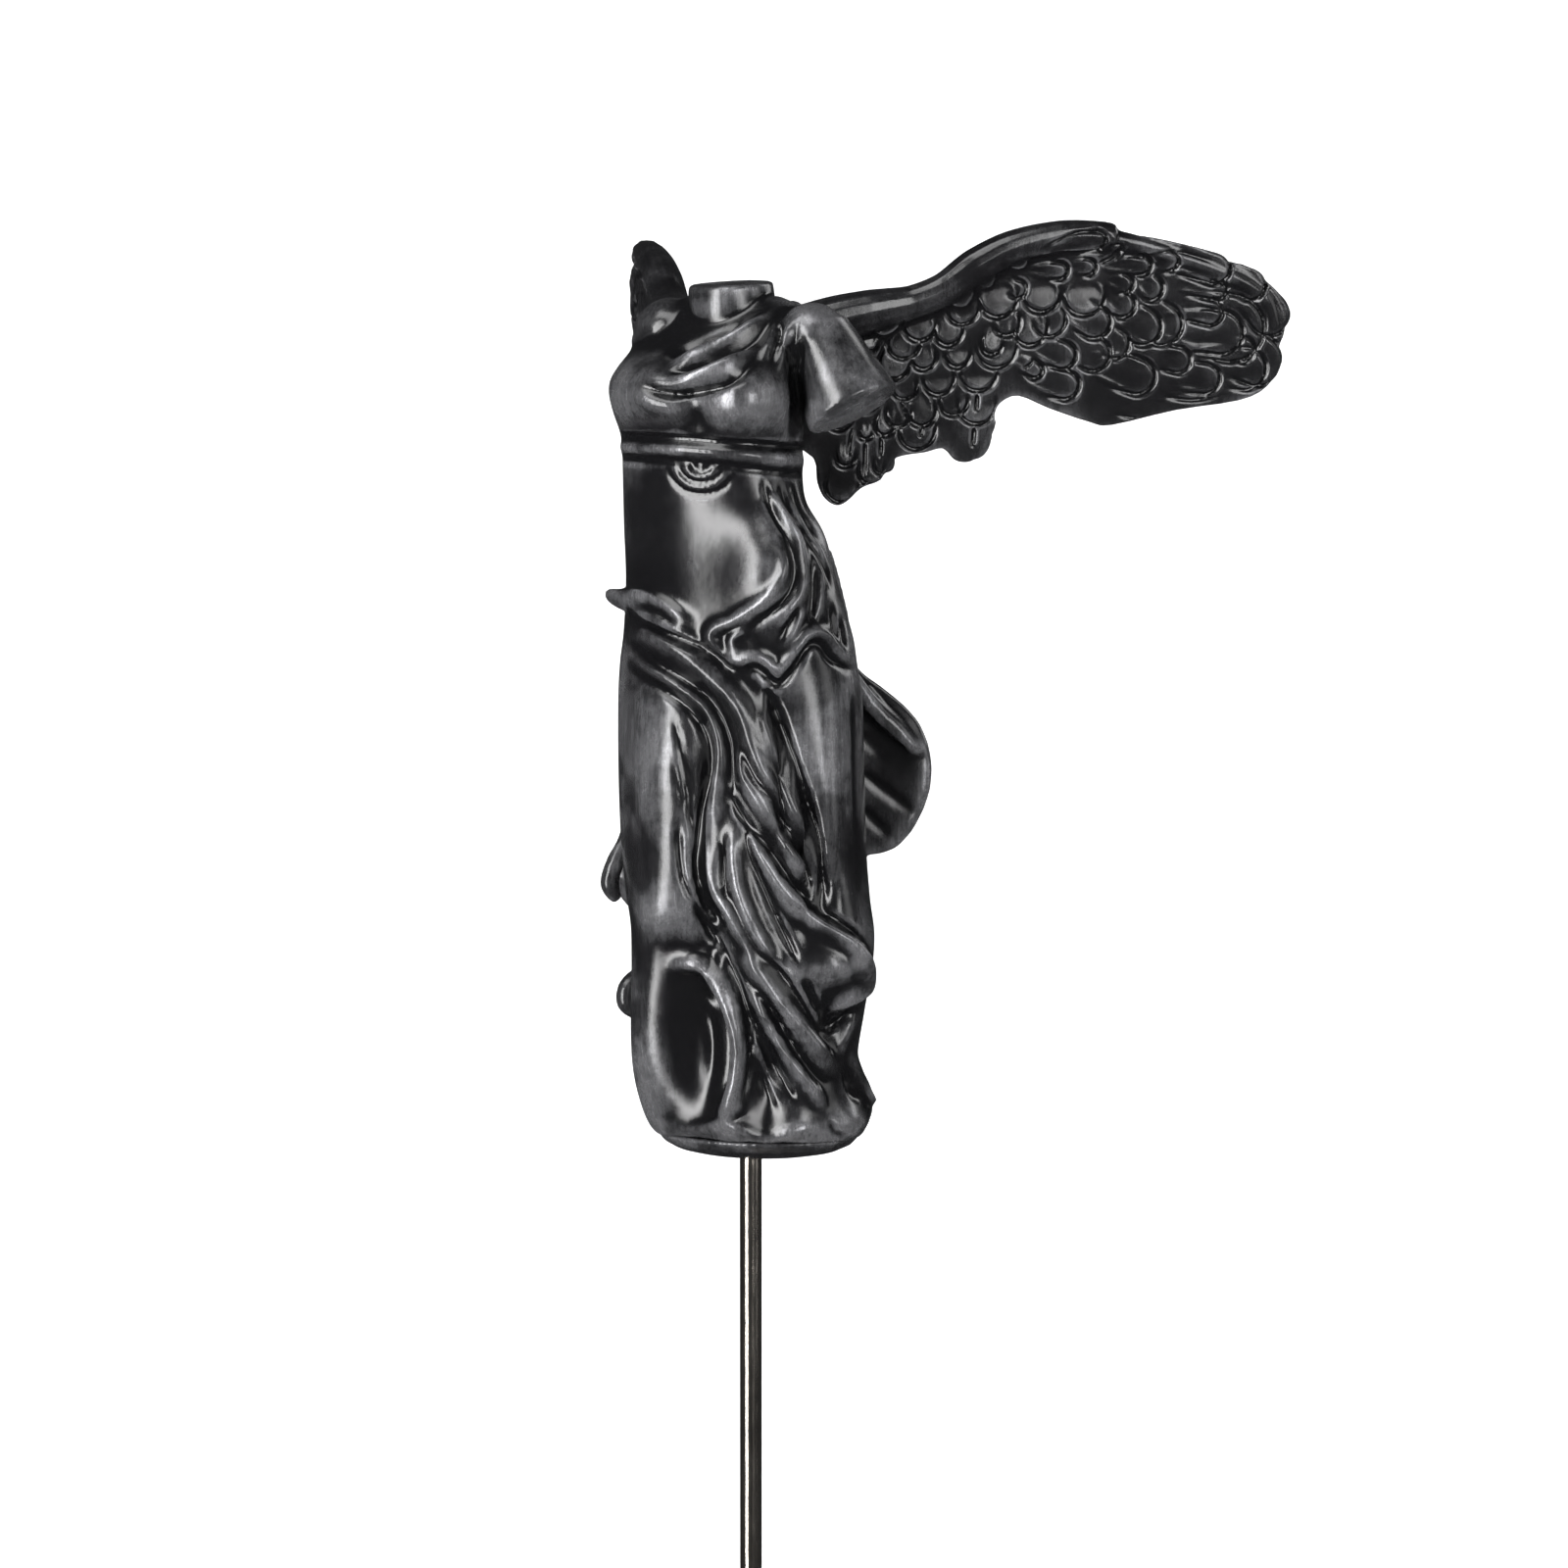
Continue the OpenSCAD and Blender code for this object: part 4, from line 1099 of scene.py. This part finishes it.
# ---------------------------------------------------------------------------------------------
# Materials
# ---------------------------------------------------------------------------------------------
class Wiring:
    """A material's node tree, wired by short calls."""

    def __init__(self, name):
        self.material = bpy.data.materials.get(name) or bpy.data.materials.new(name)
        self.material.use_nodes = True
        self.tree = self.material.node_tree
        self.tree.nodes.clear()
        self.output = self.tree.nodes.new("ShaderNodeOutputMaterial")

    def add(self, kind, inputs=None, **settings):
        """Adds a node, sets it up, and fills or links its inputs."""
        made = self.tree.nodes.new("ShaderNode" + kind)
        for key, value in settings.items():
            setattr(made, key, value)
        for key, value in (inputs or {}).items():
            if isinstance(value, bpy.types.NodeSocket):
                self.tree.links.new(value, made.inputs[key])
            else:
                made.inputs[key].default_value = value
        return made

    def place(self, stretch=(1, 1, 1), offset=0.0):
        """Object coordinates in millimetres, stretched."""
        where = self.add("TexCoord").outputs["Object"]
        scale = [1000 * s for s in stretch]
        shift = (offset, offset, offset)
        return self.add("Mapping", {"Vector": where, "Scale": scale, "Location": shift}).outputs[0]

    def noise(self, size, where, detail=3.0, roughness=0.5, distortion=0.0):
        """Noise whose patches are about size millimetres wide."""
        inputs = {"Vector": where, "Scale": 1 / size, "Detail": detail, "Roughness": roughness,
                  "Distortion": distortion}
        return self.add("TexNoise", inputs).outputs["Fac"]

    def span(self, value, low, high, to_low=0.0, to_high=1.0):
        """Stretches the part of a value between low and high."""
        inputs = {"Value": value, "From Min": low, "From Max": high, "To Min": to_low, "To Max": to_high}
        return self.add("MapRange", inputs, interpolation_type="SMOOTHSTEP").outputs["Result"]

    def math(self, operation, a, b, clamp=False):
        return self.add("Math", {0: a, 1: b}, operation=operation, use_clamp=clamp).outputs[0]

    def at_least(self, value, least):
        """A mask that never falls below its least value."""
        return self.math("ADD", self.math("MULTIPLY", value, 1 - least), least)

    def mix(self, factor, a, b):
        return self.add("MixRGB", {"Fac": factor, "Color1": a, "Color2": b}).outputs[0]

    def bump(self, height, depth, strength=1.0, normal=None):
        """A bump of that depth in millimetres."""
        inputs = {"Height": height, "Distance": depth * 0.001, "Strength": strength}
        if normal is not None:
            inputs["Normal"] = normal
        return self.add("Bump", inputs).outputs[0]

    def surface(self, **inputs):
        named = {key.replace("_", " "): value for key, value in inputs.items()}
        shader = self.add("BsdfPrincipled", named)
        self.tree.links.new(shader.outputs[0], self.output.inputs["Surface"])
        return self.material


def lacquer(context, name, offset, wear=1.0):
    """Black lacquer that handling has rubbed to dull graphite on its crests and rises, with painted shade:
    the folds' valleys and hollows are kept black.

    The offset shifts its patterns from piece to piece, and wear is how much of it is rubbed.
    """
    colours = context.scene.trophy_finish
    w = Wiring(name)
    where = w.place(offset=offset)
    raised = w.add("Attribute", attribute_name="raised").outputs["Fac"]
    proud = w.add("Attribute", attribute_name="proud").outputs["Fac"]
    brush = w.noise(0.9, w.place((1, 1, 0.1), offset), detail=4, roughness=0.75)
    patches = w.span(w.noise(24, where, detail=3, roughness=0.6), 0.42, 0.58)
    smudges = w.noise(5, where, detail=5, roughness=0.75)
    scuffs = w.math("ADD", w.math("MULTIPLY", brush, 0.5), w.math("MULTIPLY", smudges, 0.5))
    scuffs = w.span(scuffs, 0.4, 0.6)
    # Broad rises rubbed to graphite as wear; broad hollows left black as painted shade.
    broad_wear_and_shade = w.math("MULTIPLY", w.span(proud, -0.1, 1.3), w.at_least(patches, 0.15))
    # Rubbed wear on the crests; creases below the threshold stay black as painted shade.
    crests = w.math("MULTIPLY", w.span(raised, 0.03, 0.14), w.span(patches, 0.0, 1.0, 0.08, 0.5))
    # The mask: rubbed wear turns crests and rises to graphite, and the valleys and hollows stay black as
    # painted shade.
    wear_and_shade = w.math("MULTIPLY", w.math("MAXIMUM", broad_wear_and_shade, crests), wear)
    wear_and_shade = w.math("MULTIPLY", wear_and_shade, w.at_least(scuffs, 0.35))
    pits = w.span(w.noise(0.5, where, detail=6, roughness=0.9), 0.38, 0.5)
    wear_and_shade = w.math("MULTIPLY", wear_and_shade, w.at_least(pits, 0.4), clamp=True)
    skin = w.bump(w.noise(6, where, detail=2), 0.2, 0.5)
    skin = w.bump(brush, 0.03, 0.5, skin)
    skin = w.bump(w.noise(0.45, where, detail=5, roughness=0.85), 0.05, 0.4, skin)
    return w.surface(
        Base_Color=w.mix(wear_and_shade, tuple(colours.lacquer), tuple(colours.graphite)),
        Metallic=w.math("MULTIPLY", wear_and_shade, 0.95),
        Roughness=w.span(wear_and_shade, 0.0, 0.9, 0.17, 0.36),
        Normal=skin)


def nickel(context, name, stretch, low, high):
    """Warm polished nickel with marks that run along or round the piece."""
    colour = tuple(context.scene.trophy_finish.nickel)
    dark = (*(0.82 * c for c in colour[:3]), 1)
    w = Wiring(name)
    marks = w.noise(0.5, w.place(stretch), detail=4, roughness=0.7)
    clouds = w.noise(14, w.place(), detail=3)
    polish = w.math("ADD", w.math("MULTIPLY", marks, 0.6), w.math("MULTIPLY", clouds, 0.4))
    return w.surface(
        Base_Color=w.mix(clouds, dark, colour), Metallic=1.0,
        Roughness=w.span(polish, 0.3, 0.7, low, high), Normal=w.bump(marks, 0.02, 0.3))


def steel(name, low, high):
    """Plain bright steel of hidden fixings."""
    w = Wiring(name)
    marks = w.noise(0.8, w.place((1, 1, 0.3)), detail=4, roughness=0.7)
    return w.surface(
        Base_Color=w.mix(marks, (0.38, 0.38, 0.39, 1), (0.56, 0.56, 0.57, 1)), Metallic=1.0,
        Roughness=w.span(marks, 0.3, 0.7, low, high), Normal=w.bump(marks, 0.03, 0.4))


def felt(context, name):
    colour = tuple(context.scene.trophy_finish.felt)
    light = (*(2.2 * c for c in colour[:3]), 1)
    w = Wiring(name)
    fibres = w.noise(0.35, w.place(), detail=5, roughness=0.8, distortion=1.5)
    return w.surface(Base_Color=w.mix(fibres, colour, light), Roughness=w.span(fibres, 0.2, 0.8, 0.88, 1.0),
                     Normal=w.bump(fibres, 0.3, 0.9))


class TROPHY_OT_hardware(bpy.types.Operator):
    """Give the rod, the base, the fixings and the felt their finishes"""

    bl_idname = "trophy.hardware"
    bl_label = "Rod, base and fixings"

    def execute(self, context):
        finishes = {
            "rod": nickel(context, "rod nickel", (1, 1, 0.06), 0.12, 0.24),
            "base": nickel(context, "base nickel", (1, 1, 1), 0.22, 0.36),
            "felt_pad": felt(context, "felt"),
        }
        socket = ("socket_flange", "flange_screws")
        finishes.update(dict.fromkeys(socket, steel("socket steel", 0.25, 0.42)))
        clamping = ("base_washer", "spring_washer", "base_nut")
        finishes.update(dict.fromkeys(clamping, steel("nut steel", 0.2, 0.4)))
        dowels = ("left_wing_dowels", "right_wing_dowels", "cloak_dowels")
        finishes.update(dict.fromkeys(dowels, steel("dowel steel", 0.3, 0.5)))
        for node, finish in finishes.items():
            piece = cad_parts[node]
            piece.data.materials.clear()
            piece.data.materials.append(finish)
        return {"FINISHED"}


# ---------------------------------------------------------------------------------------------
# Stage
# ---------------------------------------------------------------------------------------------
# Soft lights: azimuth round from the front towards the right, rise, distance, width, height, power
SOFTBOXES = {
    "key_light": (-44, 7, 1.4, 0.46, 1.7, 34),
    "front_light": (25, 12, 1.9, 0.6, 1.1, 16),
    "fill_light": (66, 14, 1.8, 0.7, 1.5, 5),
    "top_light": (-40, 60, 1.5, 1.0, 0.6, 10),
    "right_rim_light": (125, 30, 1.7, 0.5, 1.3, 6),
}
SWEEP_FRONT = 4.0
SWEEP_BACK = 2.2
SWEEP_BEND = 1.6
SWEEP_HEIGHT = 5.0
SWEEP_WIDTH = 12.0
SWEEP_GLOW = 1.1


def sweep_line(run):
    """Depth and height of the paper sweep at a length along it from its front edge."""
    flat = SWEEP_FRONT + SWEEP_BACK
    turn = np.clip((run - flat) / SWEEP_BEND, 0, math.pi / 2)
    rest = np.maximum(run - flat - SWEEP_BEND * math.pi / 2, 0)
    return (np.minimum(run, flat) - SWEEP_FRONT + SWEEP_BEND * np.sin(turn),
            SWEEP_BEND * (1 - np.cos(turn)) + rest)


def plain(name, colour, glow=0.0):
    """Matt paper with a faint grain."""
    w = Wiring(name)
    grain = w.noise(1.5, w.place(), detail=4)
    darker = (*(0.985 * c for c in colour[:3]), 1)
    return w.surface(Base_Color=w.mix(grain, colour, darker), Roughness=w.span(grain, 0.2, 0.8, 0.8, 0.95),
                     Emission_Color=colour, Emission_Strength=glow, Normal=w.bump(grain, 0.05, 0.2))


def softbox(name, azimuth, rise, distance, width, height, power, target):
    a, e = math.radians(azimuth), math.radians(rise)
    offset = Vector((math.sin(a) * math.cos(e), -math.cos(a) * math.cos(e), math.sin(e))) * distance
    deselect()
    bpy.ops.object.light_add(type="AREA", location=target + offset, rotation=aligned(offset))
    lamp = bpy.context.object
    lamp.name = lamp.data.name = name
    lamp.data.shape = "RECTANGLE"
    lamp.data.size, lamp.data.size_y = width, height
    lamp.data.energy = power
    return lamp


class TROPHY_OT_stage(bpy.types.Operator):
    """Set up the pale backdrop, the soft lights and the camera"""

    bl_idname = "trophy.stage"
    bl_label = "Stage"

    def execute(self, context):
        scene = context.scene
        aim = Vector(to_world([(AIM_X, 0, AIM_Z)])[0])
        deselect()
        bpy.ops.mesh.primitive_grid_add(x_subdivisions=4, y_subdivisions=90, size=2, location=(0, 0, 0))
        floor = context.object
        floor.name = floor.data.name = "paper_sweep"
        flat = coords(floor)
        length = SWEEP_FRONT + SWEEP_BACK + SWEEP_BEND * math.pi / 2 + SWEEP_HEIGHT
        depth, height = sweep_line((flat[:, 1] + 1) / 2 * length)
        set_coords(floor, np.stack((flat[:, 0] * SWEEP_WIDTH / 2, depth, height), axis=1))
        bpy.ops.object.shade_smooth()
        floor.data.materials.append(plain("paper", tuple(scene.trophy_finish.floor), SWEEP_GLOW))
        floor.visible_glossy = False
        world = scene.world or bpy.data.worlds.new("studio")
        scene.world = world
        world.use_nodes = True
        for key, settings in SOFTBOXES.items():
            softbox(key, *settings, aim)
        deselect()
        offset = Vector((0, -math.cos(CAMERA_RISE), math.sin(CAMERA_RISE))) * CAMERA_DISTANCE * UNIT
        bpy.ops.object.camera_add(location=aim + offset, rotation=aligned(offset))
        scene.camera = context.object
        scene.camera.name = scene.camera.data.name = "display_camera"
        lens = scene.camera.data
        lens.lens = lens.sensor_width * CAMERA_DISTANCE / VIEW_WIDTH
        lens.clip_start, lens.clip_end = 0.05, 30
        scene.view_settings.view_transform = "Standard"
        light_the_world(world)
        return {"FINISHED"}


def light_the_world(world):
    """White to the camera behind the trophy, and a dim grey room in its reflections."""
    tree = world.node_tree
    tree.nodes.clear()
    output = tree.nodes.new("ShaderNodeOutputWorld")
    rays = tree.nodes.new("ShaderNodeLightPath")
    seen = tree.nodes.new("ShaderNodeBackground")
    seen.inputs["Color"].default_value = (1, 1, 1, 1)
    seen.inputs["Strength"].default_value = 1.0
    room = tree.nodes.new("ShaderNodeBackground")
    room.inputs["Color"].default_value = (0.5, 0.5, 0.52, 1)
    room.inputs["Strength"].default_value = 0.06
    pick = tree.nodes.new("ShaderNodeMixShader")
    tree.links.new(rays.outputs["Is Camera Ray"], pick.inputs[0])
    tree.links.new(room.outputs[0], pick.inputs[1])
    tree.links.new(seen.outputs[0], pick.inputs[2])
    tree.links.new(pick.outputs[0], output.inputs["Surface"])


# ---------------------------------------------------------------------------------------------
# Panel and registration
# ---------------------------------------------------------------------------------------------
OPERATORS = (TROPHY_OT_body, TROPHY_OT_wings, TROPHY_OT_cloak, TROPHY_OT_plate,
             TROPHY_OT_hardware, TROPHY_OT_stage)


class TROPHY_PT_panel(bpy.types.Panel):
    """The trophy's pieces and settings"""

    bl_label = "Trophy"
    bl_idname = "TROPHY_PT_panel"
    bl_space_type = "VIEW_3D"
    bl_region_type = "UI"
    bl_category = "Trophy"

    def draw(self, context):
        for group in (context.scene.trophy_sculpt, context.scene.trophy_finish):
            box = self.layout.box()
            for key in group.__annotations__:
                box.prop(group, key)
        for operator in OPERATORS:
            self.layout.operator(operator.bl_idname)


CLASSES = (TROPHY_PG_sculpt, TROPHY_PG_finish, *OPERATORS, TROPHY_PT_panel)


def register():
    for cls in CLASSES:
        bpy.utils.register_class(cls)
    bpy.types.Scene.trophy_sculpt = bpy.props.PointerProperty(type=TROPHY_PG_sculpt)
    bpy.types.Scene.trophy_finish = bpy.props.PointerProperty(type=TROPHY_PG_finish)


def unregister():
    del bpy.types.Scene.trophy_finish
    del bpy.types.Scene.trophy_sculpt
    for cls in reversed(CLASSES):
        bpy.utils.unregister_class(cls)


def main():
    register()
    for build in (bpy.ops.trophy.body, bpy.ops.trophy.wings, bpy.ops.trophy.cloak, bpy.ops.trophy.plate,
                  bpy.ops.trophy.hardware, bpy.ops.trophy.stage):
        build()


if __name__ == "__main__":
    main()
